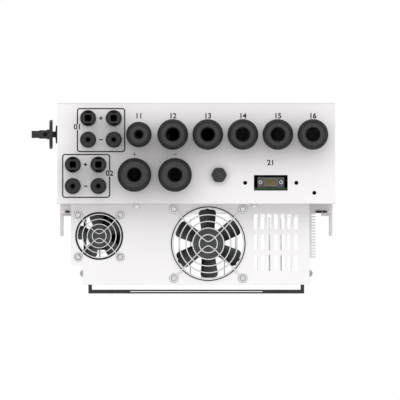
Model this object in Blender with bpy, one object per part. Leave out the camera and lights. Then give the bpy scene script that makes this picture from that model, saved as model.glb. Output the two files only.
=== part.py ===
"""Wall-hung hybrid solar inverter, in metres.

The origin is the middle of the wall bracket's back face. +Z is up, +Y points into the wall and
the covers face -Y. Glands, sockets and fans are on the underside, the DC switch is on the -X side.
"""

import math

import bmesh
import bpy
from mathutils import Matrix, Vector

# Clearances
SEAT = 0.0003  # between two pieces that rest on each other
RUN = 0.0004  # round a shaft, a key or a fan that moves or slides in

# Sheet metal
SHEET = 0.002  # cabinet and covers
GLAND_SHEET = 0.003
DUCT_SHEET = 0.001
DUCT_PLATE_SHEET = 0.002
SHEET_CORNER = 0.005  # rounded corners of plates and covers

# Heights
HEIGHT = 0.702  # underside of the wiring box to the top of the front cover
TOP_ABOVE_MOUNT = 0.150
WIRING_HEIGHT = 0.170
DUCT_RECESS = 0.040  # duct plate above the wiring box's underside
SHROUD_BELOW_TOP = 0.008

# Cable glands: dome nut across, cable hole
DATA_NUT = 0.0388
DATA_HOLE = 0.0130
AC_NUT = 0.0467
AC_HOLE = 0.0208
BATTERY_NUT = 0.0515
BATTERY_HOLE = 0.0208
GLAND_WALL = 0.004
GLAND_BEVEL = 0.0051
GLAND_BEVEL_RISE = 0.006
GLAND_FLANGE = 0.007
GLAND_FLANGE_STEP = 0.0015
GLAND_THREAD = 0.026
GLAND_FACE = 0.005
GLAND_BORE_ROOM = 0.001
GLAND_NECK_STEP = 0.003
GLAND_NECK = 0.010
AC_GLANDS = 5

# PV sockets
PV_DIAMETER = 0.0245
PV_LENGTH = 0.024
PV_PLUS_BORE = 0.0100
PV_MINUS_BORE = 0.0067
PV_BORE_DEPTH = 0.028
PV_NECK_STEP = 0.0035
PV_NECK = 0.012
PV_BEVEL = 0.0012

# Spaces between what stands on the gland plate
PV_FROM_EDGE = 0.0468
PV_COLUMN_SPACE = 0.0145
PV_ROW_SPACE = 0.0082
PV_GROUP_SPACE = 0.0134
PV_GROUP_SHIFT = 0.0233
PV_FROM_FRONT = 0.0241
PV_TO_DATA = 0.0065
DATA_TO_AC = 0.0088
GLAND_SPACE = 0.0065
GLAND_FROM_EDGE = 0.0105
GLAND_FROM_FRONT = 0.0257
BATTERY_ROW_SPACE = 0.0123
BATTERY_SPACE = 0.0101
BATTERY_FROM_DATA = 0.0067
BATTERY_TO_REAR = 0.0181

# Pressure-balancing plug
PLUG_FLATS = 0.0217
PLUG_HEIGHT = 0.008
PLUG_NECK_DIAMETER = 0.014
PLUG_NECK = 0.009
PLUG_SPACE = 0.0303

# Data port and its window
PORT_WINDOW_WIDTH = 0.0506
PORT_WINDOW_DEPTH = 0.0233
PORT_FROM_EDGE = 0.0724
PORT_FROM_REAR = 0.0203
PORT_MARGIN = 0.0050
PORT_FRONT_MARGIN = 0.0029
PORT_STRIP = 0.0043  # board edge seen behind the port
PORT_FLANGE_SHEET = 0.001
PORT_ABOVE_PLATE = 0.008
PORT_SHELL_WIDTH = 0.0195
PORT_SHELL_DEPTH = 0.0105
PORT_SHELL_TAPER = 0.001
PORT_SHELL_DROP = 0.0055
PORT_BLOCK = 0.010
BOARD_SHEET = 0.0028
COMM_BOARD_HEIGHT = 0.045
COMM_BOARD_OVERHANG = 0.007
COVER_HOLE = 0.0055
COVER_HOLE_MARGIN = 0.0133
GROUND_FROM_EDGE = 0.0315
GROUND_FROM_REAR = 0.0166

# Cabinet front
COVER_SKIRT = 0.030
RIM_WIDTH = 0.014
SEAL_THICKNESS = 0.0024
SEAL_WIDTH = 0.009
LEDGE_DEPTH = 0.0145
SEAL_INSET = 0.002
WINDOW_MARGIN = 0.015  # cut-out behind the power board, inside the board's outline
DECK_HOLE_WIDTH = 0.080
DECK_HOLE_DEPTH = 0.030
DECK_HOLE_FROM_FRONT = 0.055

# Fans
LARGE_FAN_SIZE = 0.120
LARGE_FAN_DEPTH = 0.038
LARGE_FAN_RIM = 0.0033  # least wall of the frame round the rotor
LARGE_FAN_HUB = 0.049
LARGE_FAN_TIP_GAP = 0.0044
LARGE_FAN_BLADES = 6
LARGE_FAN_BLADE_ROOT = 0.0205
LARGE_FAN_BLADE_TIP = 0.0280
LARGE_FAN_BLADE_TURN = 28.2  # degrees round the shaft of the first blade
LARGE_FAN_STRUT_TURN = 28.2  # the same, of the first strut
LARGE_FAN_SCREW_INSET = 0.0075
LARGE_FAN_X = 0.0184
SMALL_FAN_SIZE = 0.076
SMALL_FAN_DEPTH = 0.025
SMALL_FAN_RIM = 0.0015
SMALL_FAN_HUB = 0.036
SMALL_FAN_TIP_GAP = 0.0040
SMALL_FAN_BLADES = 5
SMALL_FAN_BLADE_ROOT = 0.0134
SMALL_FAN_BLADE_TIP = 0.0238
SMALL_FAN_BLADE_TURN = 46.0
SMALL_FAN_STRUT_TURN = 58.0
SMALL_FAN_SCREW_INSET = 0.0061
SMALL_FAN_FROM_FRONT = 0.0107
SMALL_FAN_FROM_WING = 0.0035
SMALL_FAN_BEHIND = 0.0065
FAN_CORNER = 0.005
FAN_SCREW_HOLE = 0.0043
FAN_STRUTS = 3
FAN_STRUT = 0.005
FAN_STRUT_HEIGHT = 0.004
FAN_SHAFT = 0.008
FAN_SHAFT_END = 0.010  # shaft end above the frame's lower face
FAN_HUB_RISE = 0.002  # rotor above the frame's lower face
FAN_BLADE = 0.0016
FAN_BLADE_INSET = 0.002
FAN_BACK_ROOM = 0.0014

# Fan guards
LARGE_GUARD_WIRE = 0.0020
LARGE_GUARD_INNER = 0.0138
LARGE_GUARD_STEP = 0.0101
LARGE_GUARD_RINGS = 5
SMALL_GUARD_WIRE = 0.0015
SMALL_GUARD_INNER = 0.0106
SMALL_GUARD_STEP = 0.0075
SMALL_GUARD_RINGS = 4
GUARD_APEX = -0.003  # where the bent wires' straight arms would meet, past the fan's middle
GUARD_BEND = 0.006
GUARD_STEPS = 4
GUARD_WELD = 0.8  # rings under the bent wires, in wire thicknesses
GUARD_EYE_FLAT = 0.9  # eye thickness, in wire thicknesses
GUARD_EYE_WALL = 0.0022
GUARD_EYE_HOLE = 0.0045

# Duct
SLOT_WIDTH = 0.0062
SLOT_LENGTH = 0.0246
SLOT_COLUMNS = 7
SLOT_ROWS = 3
SLOT_COLUMN_SPACE = 0.0040
SLOT_ROW_SPACE = 0.0070
SLOT_FROM_FAN = 0.0092
SLOT_FROM_EDGE = 0.0175
SLOT_SHIFT = -0.0022  # middle slots against the fan's shaft
DUCT_WING = 0.0181
VENT_REACH = 0.0095
VENT_BASE = 0.0035
VENT_TOOTH = 0.0022
VENT_PITCH = 0.0044
VENT_TEETH = 16
VENT_FROM_BACK = 0.0407
VENT_HEIGHT = 0.060
VENT_FROM_BOTTOM = 0.030

# Heatsink
FIN = 0.0010
FIN_PITCH = 0.0174
FIN_SHIFT = -0.0090
FIN_BACK_GAP = 0.003
FIN_FROM_SCREW = 0.003  # outer fins clear of the lock screws' ends
HEATSINK_BASE = 0.006
HEATSINK_ABOVE_DECK = 0.012
HEATSINK_BELOW_TOP = 0.020

# Wall bracket and what holds the inverter on it
BRACKET_WIDTH = 0.3350
BRACKET_HEIGHT = 0.110
BRACKET_DEPTH = 0.016
BRACKET_BAR = 0.0054
BRACKET_LEG = 0.005
BRACKET_SLOT = 0.0018
BRACKET_SLOT_HALF = 0.103
BRACKET_HOLE = 0.009
BRACKET_HOLE_X = 0.130
BRACKET_HOLE_Z = 0.030
LOCK_HEAD = 0.012
LOCK_HEAD_HEIGHT = 0.0085
LOCK_DOME_STEPS = 4
LOCK_SHANK = 0.005
LOCK_LENGTH = 0.009
LOCK_FROM_BACK = 0.0147
HANDLE_SHEET = 0.004
HANDLE_REACH = 0.0345
HANDLE_FOOT = 0.016
HANDLE_LENGTH = 0.160
HANDLE_ABOVE_DECK = 0.020
HANDLE_GRIP_LENGTH = 0.100
HANDLE_GRIP_WIDTH = 0.016

# DC switch
SWITCH_FROM_FRONT = 0.0485
SWITCH_ABOVE_BOTTOM = 0.095
SWITCH_STEM = 0.0093
SWITCH_BASE = 0.0277
SWITCH_BASE_HEIGHT = 0.0017
SWITCH_STEM_SHOWN = 0.006
SWITCH_DISC = 0.0444
SWITCH_DISC_HEIGHT = 0.005
SWITCH_DISC_ROUND = 0.0015
SWITCH_LEVER_LENGTH = 0.027
SWITCH_LEVER_TIP = 0.0109
SWITCH_LEVER_MIDDLE = 0.0129
SWITCH_LEVER_ROOT = 0.0150
SWITCH_LEVER_STEP = 0.0038
SWITCH_LEVER_TIP_LENGTH = 0.0117
SWITCH_LEVER_HEIGHT = 0.040
SWITCH_BODY_SIZE = 0.048
SWITCH_BODY_LENGTH = 0.045
SWITCH_STEM_INSIDE = 0.015

# Display and keys
LENS_WIDTH = 0.096
LENS_HEIGHT = 0.056
LENS_BELOW_TOP = 0.150
MODULE_MARGIN = 0.010
MODULE_DEPTH = 0.016
KEY_DIAMETER = 0.010
KEY_SPACE = 0.0105
KEY_ROOM = 0.0013
KEY_FLANGE = 0.0135
KEY_FLANGE_HEIGHT = 0.001
KEY_TRAVEL = 0.001
KEY_BOARD = 0.003
KEY_BOARD_MARGIN = 0.004
KEY_NAMES = ("key_escape", "key_up", "key_down", "key_enter")

# Electronics inside
POWER_BOARD_WIDTH = 0.300
POWER_BOARD_HEIGHT = 0.360
POWER_MODULE_WIDTH = 0.060
POWER_MODULE_HEIGHT = 0.100
POWER_MODULE_SPACE = 0.020
POWER_MODULES = 3
BOARD_ABOVE_DECK = 0.055
BOARD_STANDOFF = 0.018
CAPACITOR = 0.035
CAPACITOR_LENGTH = 0.050
CAPACITOR_SPACE = 0.005
CAPACITORS = 6
CAPACITOR_BASE = 0.004
CAPACITOR_ABOVE_MIDDLE = 0.060
CHOKE_WIDTH = 0.105
CHOKE_DEPTH = 0.070
CHOKE_HEIGHT = 0.055
CHOKE_ABOVE_FAN = 0.030
CHOKE_FROM_SIDE = 0.0145
TERMINAL_POLE = 0.020
TERMINAL_DEPTH = 0.032
TERMINAL_HEIGHT = 0.030
TERMINAL_STEP = 0.012
TERMINAL_ABOVE_BOTTOM = 0.080
AC_POLES = 9
BATTERY_POLES = 2
AC_TERMINAL_X = 0.060
BATTERY_TERMINAL_X = -0.100

# Places on the gland plate, from the left side and the front
FIRST_PV = PV_FROM_EDGE
SECOND_PV = FIRST_PV + PV_DIAMETER + PV_COLUMN_SPACE
DATA_GLAND = SECOND_PV + PV_DIAMETER / 2 + PV_TO_DATA + DATA_NUT / 2
FIRST_AC_GLAND = DATA_GLAND + (DATA_NUT + AC_NUT) / 2 + DATA_TO_AC
AC_PITCH = AC_NUT + GLAND_SPACE
WIDTH = FIRST_AC_GLAND + (AC_GLANDS - 1) * AC_PITCH + AC_NUT / 2 + GLAND_FROM_EDGE
AC_ROW = GLAND_FROM_FRONT + AC_NUT / 2
BATTERY_ROW = AC_ROW + (AC_NUT + BATTERY_NUT) / 2 + BATTERY_ROW_SPACE
WIRING_DEPTH = BATTERY_ROW + BATTERY_NUT / 2 + BATTERY_TO_REAR
HALF_WIDTH = WIDTH / 2

# Levels along Y, from the wall forwards
DUCT_BACK_Y = -BRACKET_DEPTH - SEAT
DUCT_DEPTH = LARGE_FAN_SIZE + RUN + FAN_BACK_ROOM + DUCT_SHEET
DUCT_FRONT_Y = DUCT_BACK_Y - DUCT_DEPTH
WIRING_BACK_Y = DUCT_FRONT_Y - SEAT
BODY_BACK_Y = WIRING_BACK_Y + LEDGE_DEPTH
FRONT_Y = WIRING_BACK_Y - WIRING_DEPTH
COVER_INSIDE_Y = FRONT_Y + SHEET
WIRING_RIM_Y = COVER_INSIDE_Y + SEAT
BODY_RIM_Y = COVER_INSIDE_Y + SEAL_THICKNESS + 2 * SEAT

# Levels along Z
TOP_Z = TOP_ABOVE_MOUNT
BOTTOM_Z = TOP_Z - HEIGHT
PLATE_TOP_Z = BOTTOM_Z + GLAND_SHEET
DECK_Z = BOTTOM_Z + WIRING_HEIGHT
DECK_TOP_Z = DECK_Z + SHEET
BODY_TOP_Z = TOP_Z - SHEET - RUN
DUCT_Z = BOTTOM_Z + DUCT_RECESS
FAN_Z = DUCT_Z + DUCT_PLATE_SHEET + SEAT
BODY_HALF = HALF_WIDTH - SHEET - RUN

# Duct layout along X
SLOT_PITCH = SLOT_WIDTH + SLOT_COLUMN_SPACE
FIRST_SLOT_X = LARGE_FAN_X + LARGE_FAN_SIZE / 2 + SLOT_FROM_FAN + SLOT_WIDTH / 2
DUCT_HALF = FIRST_SLOT_X + (SLOT_COLUMNS - 1) * SLOT_PITCH + SLOT_WIDTH / 2 + SLOT_FROM_EDGE
WING_X = -DUCT_HALF - DUCT_WING
SMALL_FAN_X = WING_X + DUCT_SHEET + RUN + SMALL_FAN_FROM_WING + SMALL_FAN_SIZE / 2
LARGE_FAN_Y = DUCT_FRONT_Y + RUN + LARGE_FAN_SIZE / 2
SMALL_FAN_Y = DUCT_FRONT_Y + SMALL_FAN_FROM_FRONT + SMALL_FAN_SIZE / 2
WING_BACK_Y = SMALL_FAN_Y + SMALL_FAN_SIZE / 2 + SMALL_FAN_BEHIND

# Levels of what is inside and on the front
POWER_BOARD_Z = DECK_TOP_Z + BOARD_ABOVE_DECK
POWER_BOARD_Y = BODY_BACK_Y - BOARD_STANDOFF
LENS_Z = TOP_Z - LENS_BELOW_TOP
MODULE_HALF = LENS_WIDTH / 2 + MODULE_MARGIN
MODULE_BOTTOM_Z = LENS_Z - LENS_HEIGHT / 2 - MODULE_MARGIN
KEY_Z = MODULE_BOTTOM_Z - KEY_ROOM - KEY_FLANGE / 2
KEY_PITCH = KEY_FLANGE + KEY_SPACE
KEY_INSIDE_Y = COVER_INSIDE_Y + SEAT
SWITCH_AXIS = (0.0, FRONT_Y + SWITCH_FROM_FRONT, BOTTOM_Z + SWITCH_ABOVE_BOTTOM)
LOCK_AXIS = (0.0, DUCT_BACK_Y - LOCK_FROM_BACK, 0.0)

# How far a cutter runs past the face it opens, and how round things are
PAST = 0.010
TINY = 8
COARSE = 12
ROUND = 20
FINE = 32
BLADE_STATIONS = 4
BLADE_CHORD = 3
SHARP_ANGLE = math.radians(38)

# Colour, roughness and metallic value of each finish
FINISHES = {
    "white_paint": ((0.80, 0.79, 0.80), 0.45, 0.0),
    "dark_plastic": ((0.045, 0.045, 0.047), 0.50, 0.0),
    "black_plastic": ((0.015, 0.015, 0.016), 0.55, 0.0),
    "wire_steel": ((0.75, 0.75, 0.76), 0.25, 1.0),
    "grey_steel": ((0.075, 0.075, 0.08), 0.45, 0.6),
    "aluminium": ((0.70, 0.70, 0.71), 0.40, 1.0),
    "seal_rubber": ((0.03, 0.03, 0.03), 0.80, 0.0),
    "board_green": ((0.03, 0.20, 0.07), 0.50, 0.0),
    "lens": ((0.02, 0.02, 0.025), 0.08, 0.0),
}


def clear_scene():
    for old in list(bpy.data.objects):
        bpy.data.objects.remove(old, do_unlink=True)


def finish(name):
    """The material of a finish, made the first time it is asked for."""
    material = bpy.data.materials.get(name)
    if material:
        return material
    colour, roughness, metallic = FINISHES[name]
    material = bpy.data.materials.new(name)
    material.use_nodes = True
    shader = material.node_tree.nodes["Principled BSDF"]
    shader.inputs["Base Color"].default_value = (*colour, 1.0)
    shader.inputs["Roughness"].default_value = roughness
    shader.inputs["Metallic"].default_value = metallic
    return material


def along(axis, u, v, w):
    """A point from two coordinates across an axis and one along it."""
    if axis == "X":
        return Vector((w, u, v))
    if axis == "Y":
        return Vector((u, w, v))
    return Vector((u, v, w))


def add_prism(bm, outline, low, high, axis="Z"):
    """Extrudes an outline, given across the axis, from low to high along it."""
    lower = [bm.verts.new(along(axis, u, v, low)) for u, v in outline]
    upper = [bm.verts.new(along(axis, u, v, high)) for u, v in outline]
    bm.faces.new(lower)
    bm.faces.new(upper)
    for i, vertex in enumerate(lower):
        j = (i + 1) % len(lower)
        bm.faces.new((vertex, lower[j], upper[j], upper[i]))


def add_box(bm, low, high):
    add_prism(bm, rectangle(low[0], low[1], high[0], high[1]), low[2], high[2])


def add_turned(bm, profile, centre, axis="Z", sides=ROUND):
    """Turns a profile of (radius, place along the axis) about an axis through the centre."""
    rings = []
    for radius, place in profile:
        count = sides if radius > 0 else 1
        turn = [2 * math.pi * i / sides for i in range(count)]
        offsets = [along(axis, radius * math.cos(a), radius * math.sin(a), place) for a in turn]
        rings.append([bm.verts.new(Vector(centre) + offset) for offset in offsets])
    loops = list(zip(rings, rings[1:]))
    if profile[0][0] > 0:
        loops.append((rings[-1], rings[0]))
    for first, second in loops:
        for i in range(sides):
            j = (i + 1) % sides
            corners = [first[i % len(first)], first[j % len(first)]]
            corners += [second[j % len(second)], second[i % len(second)]]
            bm.faces.new(list(dict.fromkeys(corners)))


def add_bore(bm, diameter, centre, low, high, axis="Z", sides=ROUND):
    """A plain cylinder between two places along the axis, as a solid or a cutter."""
    radius = diameter / 2
    add_turned(bm, [(0, low), (radius, low), (radius, high), (0, high)], centre, axis, sides)


def add_ring(bm, radius, wire, centre, wire_sides=4):
    """A ring of round wire lying flat."""
    profile = []
    for i in range(wire_sides):
        turn = 2 * math.pi * i / wire_sides
        profile.append((radius + wire / 2 * math.cos(turn), wire / 2 * math.sin(turn)))
    add_turned(bm, profile, centre, "Z", ROUND)


def add_wire(bm, path, wire, wire_sides=4):
    """A round wire along a flat path of points."""
    up = Vector((0, 0, 1))
    rings = []
    for i, point in enumerate(path):
        before = path[max(i - 1, 0)]
        after = path[min(i + 1, len(path) - 1)]
        side = (after - before).normalized().cross(up)
        ring = []
        for k in range(wire_sides):
            turn = 2 * math.pi * k / wire_sides
            offset = side * math.cos(turn) + up * math.sin(turn)
            ring.append(bm.verts.new(point + offset * wire / 2))
        rings.append(ring)
    for first, second in zip(rings, rings[1:]):
        for k in range(wire_sides):
            j = (k + 1) % wire_sides
            bm.faces.new((first[k], first[j], second[j], second[k]))
    bm.faces.new(rings[0])
    bm.faces.new(rings[-1])


def rectangle(u0, v0, u1, v1):
    return [(u0, v0), (u1, v0), (u1, v1), (u0, v1)]


def rounded(u0, v0, u1, v1, radii, steps=3):
    """A rectangle with round corners, anticlockwise from the lower left. A radius of 0 is square."""
    corners = [(u0, v0, 1, 1, 180), (u1, v0, -1, 1, 270), (u1, v1, -1, -1, 0), (u0, v1, 1, -1, 90)]
    points = []
    for (u, v, to_u, to_v, start), radius in zip(corners, radii):
        for i in range(steps + 1 if radius > 0 else 1):
            turn = math.radians(start + 90 * i / steps)
            across = to_u * radius + radius * math.cos(turn)
            upward = to_v * radius + radius * math.sin(turn)
            points.append((u + across, v + upward) if radius > 0 else (u, v))
    return points


def slot(u, v, width, length, steps=4):
    """A slot with round ends, its length along the second coordinate."""
    reach = (length - width) / 2
    points = []
    for start, shift in ((0, reach), (180, -reach)):
        for i in range(steps + 1):
            turn = math.radians(start + 180 * i / steps)
            points.append((u + width / 2 * math.cos(turn), v + shift + width / 2 * math.sin(turn)))
    return points


def mesh_object(name, bm):
    bmesh.ops.recalc_face_normals(bm, faces=bm.faces)
    mesh = bpy.data.meshes.new(name)
    bm.to_mesh(mesh)
    bm.free()
    made = bpy.data.objects.new(name, mesh)
    bpy.context.collection.objects.link(made)
    return made


def piece(name, bm, finish_name, origin=(0, 0, 0)):
    """One node of the object, with its origin where asked, hung on the inverter's empty."""
    made = mesh_object(name, bm)
    made.data.materials.append(finish(finish_name))
    made.data.transform(Matrix.Translation(-Vector(origin)))
    made.data.shade_smooth()
    made.data.set_sharp_from_angle(angle=SHARP_ANGLE)
    made.location = origin
    made.parent = bpy.data.objects["inverter"]
    return made


def combine(made, operation, bm):
    """Cuts a helper solid out of a piece, or joins it on."""
    helper = mesh_object(f"{made.name}_{operation.lower()}_{len(made.modifiers)}", bm)
    helper.hide_render = True
    helper.display_type = "WIRE"
    helper.parent = bpy.data.objects["inverter"]
    modifier = made.modifiers.new(operation.title(), "BOOLEAN")
    modifier.operation = operation
    modifier.solver = "EXACT"
    modifier.object = helper


def cut(made, bm):
    combine(made, "DIFFERENCE", bm)


def fuse(made, bm):
    combine(made, "UNION", bm)


def make_cabinet():
    """One sheet shell: the main body above and the wiring box, open below, under its deck."""
    bm = bmesh.new()
    add_box(bm, (-BODY_HALF, BODY_RIM_Y, DECK_Z), (BODY_HALF, BODY_BACK_Y, BODY_TOP_Z))
    cabinet = piece("cabinet", bm, "white_paint")
    bm = bmesh.new()
    low = (-HALF_WIDTH, WIRING_RIM_Y, PLATE_TOP_Z + SEAT)
    add_box(bm, low, (HALF_WIDTH, WIRING_BACK_Y, DECK_TOP_Z))
    fuse(cabinet, bm)
    bm = bmesh.new()
    inside = BODY_HALF - SHEET
    high = (inside, BODY_BACK_Y - SHEET, BODY_TOP_Z - SHEET)
    add_box(bm, (-inside, BODY_RIM_Y + SHEET, DECK_TOP_Z), high)
    inside = HALF_WIDTH - SHEET
    low = (-inside, WIRING_RIM_Y + SHEET, BOTTOM_Z - PAST)
    add_box(bm, low, (inside, WIRING_BACK_Y - SHEET, DECK_Z))
    cut(cabinet, bm)
    bm = bmesh.new()
    opening = BODY_HALF - RIM_WIDTH
    low = (-opening, BODY_RIM_Y - PAST, DECK_TOP_Z + RIM_WIDTH)
    add_box(bm, low, (opening, BODY_RIM_Y + SHEET + PAST, BODY_TOP_Z - RIM_WIDTH))
    opening = HALF_WIDTH - RIM_WIDTH
    low = (-opening, WIRING_RIM_Y - PAST, PLATE_TOP_Z + RIM_WIDTH)
    add_box(bm, low, (opening, WIRING_RIM_Y + SHEET + PAST, DECK_Z - RIM_WIDTH))
    opening = POWER_BOARD_WIDTH / 2 - WINDOW_MARGIN
    low = (-opening, BODY_BACK_Y - SHEET - PAST, POWER_BOARD_Z + WINDOW_MARGIN)
    high = (opening, BODY_BACK_Y + PAST, POWER_BOARD_Z + POWER_BOARD_HEIGHT - WINDOW_MARGIN)
    add_box(bm, low, high)
    middle = FRONT_Y + DECK_HOLE_FROM_FRONT
    low = (-DECK_HOLE_WIDTH / 2, middle - DECK_HOLE_DEPTH / 2, DECK_Z - PAST)
    add_box(bm, low, (DECK_HOLE_WIDTH / 2, middle + DECK_HOLE_DEPTH / 2, DECK_TOP_Z + PAST))
    stem = SWITCH_STEM + 2 * RUN
    add_bore(bm, stem, SWITCH_AXIS, -HALF_WIDTH - PAST, -HALF_WIDTH + SHEET + PAST, "X")
    cut(cabinet, bm)


def make_covers():
    """Front cover with its seal, and the wiring cover below it."""
    bm = bmesh.new()
    bottom = DECK_TOP_Z + SEAT
    radii = (0, 0, SHEET_CORNER, SHEET_CORNER)
    outline = rounded(-HALF_WIDTH, bottom, HALF_WIDTH, TOP_Z, radii)
    add_prism(bm, outline, FRONT_Y, FRONT_Y + COVER_SKIRT, "Y")
    cover = piece("front_cover", bm, "white_paint")
    bm = bmesh.new()
    inside = HALF_WIDTH - SHEET
    high = (inside, FRONT_Y + COVER_SKIRT + PAST, TOP_Z - SHEET)
    add_box(bm, (-inside, COVER_INSIDE_Y, bottom - PAST), high)
    cut(cover, bm)
    bm = bmesh.new()
    width = LENS_WIDTH / 2 + SEAT
    height = LENS_HEIGHT / 2 + SEAT
    low = (-width, FRONT_Y - PAST, LENS_Z - height)
    add_box(bm, low, (width, COVER_INSIDE_Y + PAST, LENS_Z + height))
    for x in key_places():
        centre = (x, 0, KEY_Z)
        add_bore(bm, KEY_DIAMETER + 2 * RUN, centre, FRONT_Y - PAST, COVER_INSIDE_Y + PAST, "Y")
    cut(cover, bm)

    bm = bmesh.new()
    outer = BODY_HALF - SEAL_INSET
    inner = outer - SEAL_WIDTH
    low_z = DECK_TOP_Z + SEAL_INSET
    high_z = BODY_TOP_Z - SEAL_INSET
    start = COVER_INSIDE_Y + SEAT
    add_box(bm, (-outer, start, low_z), (outer, start + SEAL_THICKNESS, high_z))
    seal = piece("cover_seal", bm, "seal_rubber")
    bm = bmesh.new()
    low = (-inner, start - PAST, low_z + SEAL_WIDTH)
    add_box(bm, low, (inner, start + SEAL_THICKNESS + PAST, high_z - SEAL_WIDTH))
    cut(seal, bm)

    bm = bmesh.new()
    add_box(bm, (-HALF_WIDTH, FRONT_Y, BOTTOM_Z), (HALF_WIDTH, COVER_INSIDE_Y, DECK_TOP_Z))
    piece("wiring_cover", bm, "white_paint")


def from_left(place):
    """X of a place measured from the wiring box's left side."""
    return place - HALF_WIDTH


def gland_places():
    """Name ending, X, Y, nut diameter and cable hole of each gland."""
    ac_y = FRONT_Y + AC_ROW
    battery_y = FRONT_Y + BATTERY_ROW
    battery_x = from_left(DATA_GLAND) - BATTERY_FROM_DATA
    battery_pitch = BATTERY_NUT + BATTERY_SPACE
    places = [("data_gland", from_left(DATA_GLAND), ac_y, DATA_NUT, DATA_HOLE)]
    for i in range(AC_GLANDS):
        x = from_left(FIRST_AC_GLAND + i * AC_PITCH)
        places.append((f"ac_gland_{i + 1}", x, ac_y, AC_NUT, AC_HOLE))
    for i, pole in enumerate(("plus", "minus")):
        x = battery_x + i * battery_pitch
        places.append((f"battery_gland_{pole}", x, battery_y, BATTERY_NUT, BATTERY_HOLE))
    return places


def gland_radii(nut, hole):
    """Thread, neck and bore radius of a gland body."""
    thread = nut / 2 - GLAND_WALL - SEAT
    return thread, thread - GLAND_NECK_STEP, hole / 2 + GLAND_BORE_ROOM


def pv_places():
    """Name, X, Y and bore of each PV socket."""
    places = []
    row_pitch = PV_DIAMETER + PV_ROW_SPACE
    for group in range(2):
        first_x = from_left(FIRST_PV) - group * PV_GROUP_SHIFT
        first_y = FRONT_Y + PV_FROM_FRONT + group * (row_pitch + PV_DIAMETER + PV_GROUP_SPACE)
        for row, (pole, bore) in enumerate((("plus", PV_PLUS_BORE), ("minus", PV_MINUS_BORE))):
            for column, letter in enumerate("ab"):
                x = first_x + column * (PV_DIAMETER + PV_COLUMN_SPACE)
                places.append((f"pv_{group + 1}_{pole}_{letter}", x, first_y + row * row_pitch, bore))
    return places


def plug_place():
    battery_minus = gland_places()[-1]
    x = battery_minus[1] + BATTERY_NUT / 2 + PLUG_SPACE + PLUG_FLATS / 2
    return x, battery_minus[2]


def port_window():
    """Left, front, right and rear edge of the data port's window."""
    right = HALF_WIDTH - PORT_FROM_EDGE
    rear = WIRING_BACK_Y - PORT_FROM_REAR
    return right - PORT_WINDOW_WIDTH, rear - PORT_WINDOW_DEPTH, right, rear


def key_places():
    middle = (len(KEY_NAMES) - 1) / 2
    return [(i - middle) * KEY_PITCH for i in range(len(KEY_NAMES))]


def make_gland_plate():
    bm = bmesh.new()
    radii = (0, 0, SHEET_CORNER, SHEET_CORNER)
    outline = rounded(-HALF_WIDTH, WIRING_RIM_Y, HALF_WIDTH, WIRING_BACK_Y, radii)
    add_prism(bm, outline, BOTTOM_Z, PLATE_TOP_Z)
    plate = piece("gland_plate", bm, "white_paint")
    low, high = BOTTOM_Z - PAST, PLATE_TOP_Z + PAST
    bm = bmesh.new()
    for _, x, y, nut, hole in gland_places():
        neck = gland_radii(nut, hole)[1]
        add_bore(bm, 2 * (neck + SEAT), (x, y, 0), low, high, sides=COARSE)
    for _, x, y, _ in pv_places():
        add_bore(bm, PV_DIAMETER - 2 * (PV_NECK_STEP - SEAT), (x, y, 0), low, high, sides=COARSE)
    plug = plug_place()
    add_bore(bm, PLUG_NECK_DIAMETER + 2 * SEAT, (*plug, 0), low, high, sides=COARSE)
    left, front, right, rear = port_window()
    add_prism(bm, rectangle(left, front, right, rear), low, high)
    hole_y = (front + rear) / 2
    small_holes = [(left - COVER_HOLE_MARGIN, hole_y), (right + COVER_HOLE_MARGIN, hole_y)]
    small_holes.append((HALF_WIDTH - GROUND_FROM_EDGE, WIRING_BACK_Y - GROUND_FROM_REAR))
    for x, y in small_holes:
        add_bore(bm, COVER_HOLE, (x, y, 0), low, high, sides=COARSE)
    cut(plate, bm)


def make_glands():
    """Each gland is a body through the gland plate and a dome nut screwed on below it."""
    for name, x, y, nut, hole in gland_places():
        thread, neck, bore = gland_radii(nut, hole)
        flange = nut / 2 - GLAND_FLANGE_STEP
        flange_z = -SEAT - GLAND_FLANGE
        thread_z = flange_z - GLAND_THREAD
        neck_z = GLAND_SHEET + GLAND_NECK
        profile = [(bore, thread_z), (thread, thread_z), (thread, flange_z), (flange, flange_z)]
        profile += [(flange, -SEAT), (neck, -SEAT), (neck, neck_z), (bore, neck_z)]
        bm = bmesh.new()
        add_turned(bm, profile, (x, y, BOTTOM_Z), sides=COARSE)
        piece(f"{name}_body", bm, "dark_plastic")

        top_z = flange_z - SEAT
        face_z = thread_z - SEAT
        end_z = face_z - GLAND_FACE
        outer = nut / 2
        inner = thread + SEAT
        profile = [(outer, top_z), (outer, end_z + GLAND_BEVEL_RISE), (outer - GLAND_BEVEL, end_z)]
        profile += [(hole / 2, end_z), (hole / 2, face_z), (inner, face_z), (inner, top_z)]
        bm = bmesh.new()
        add_turned(bm, profile, (x, y, BOTTOM_Z))
        piece(f"{name}_nut", bm, "dark_plastic")


def make_pv_sockets():
    """Panel sockets with a blind bore from below and a neck through the gland plate."""
    outer = PV_DIAMETER / 2
    neck = outer - PV_NECK_STEP
    neck_z = GLAND_SHEET + PV_NECK
    end_z = -SEAT - PV_LENGTH
    for name, x, y, bore in pv_places():
        profile = [(0, neck_z), (neck, neck_z), (neck, -SEAT), (outer, -SEAT), (outer, end_z + PV_BEVEL)]
        profile += [(outer - PV_BEVEL, end_z), (bore / 2, end_z)]
        profile += [(bore / 2, end_z + PV_BORE_DEPTH), (0, end_z + PV_BORE_DEPTH)]
        bm = bmesh.new()
        add_turned(bm, profile, (x, y, BOTTOM_Z), sides=COARSE)
        piece(name, bm, "dark_plastic")


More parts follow.
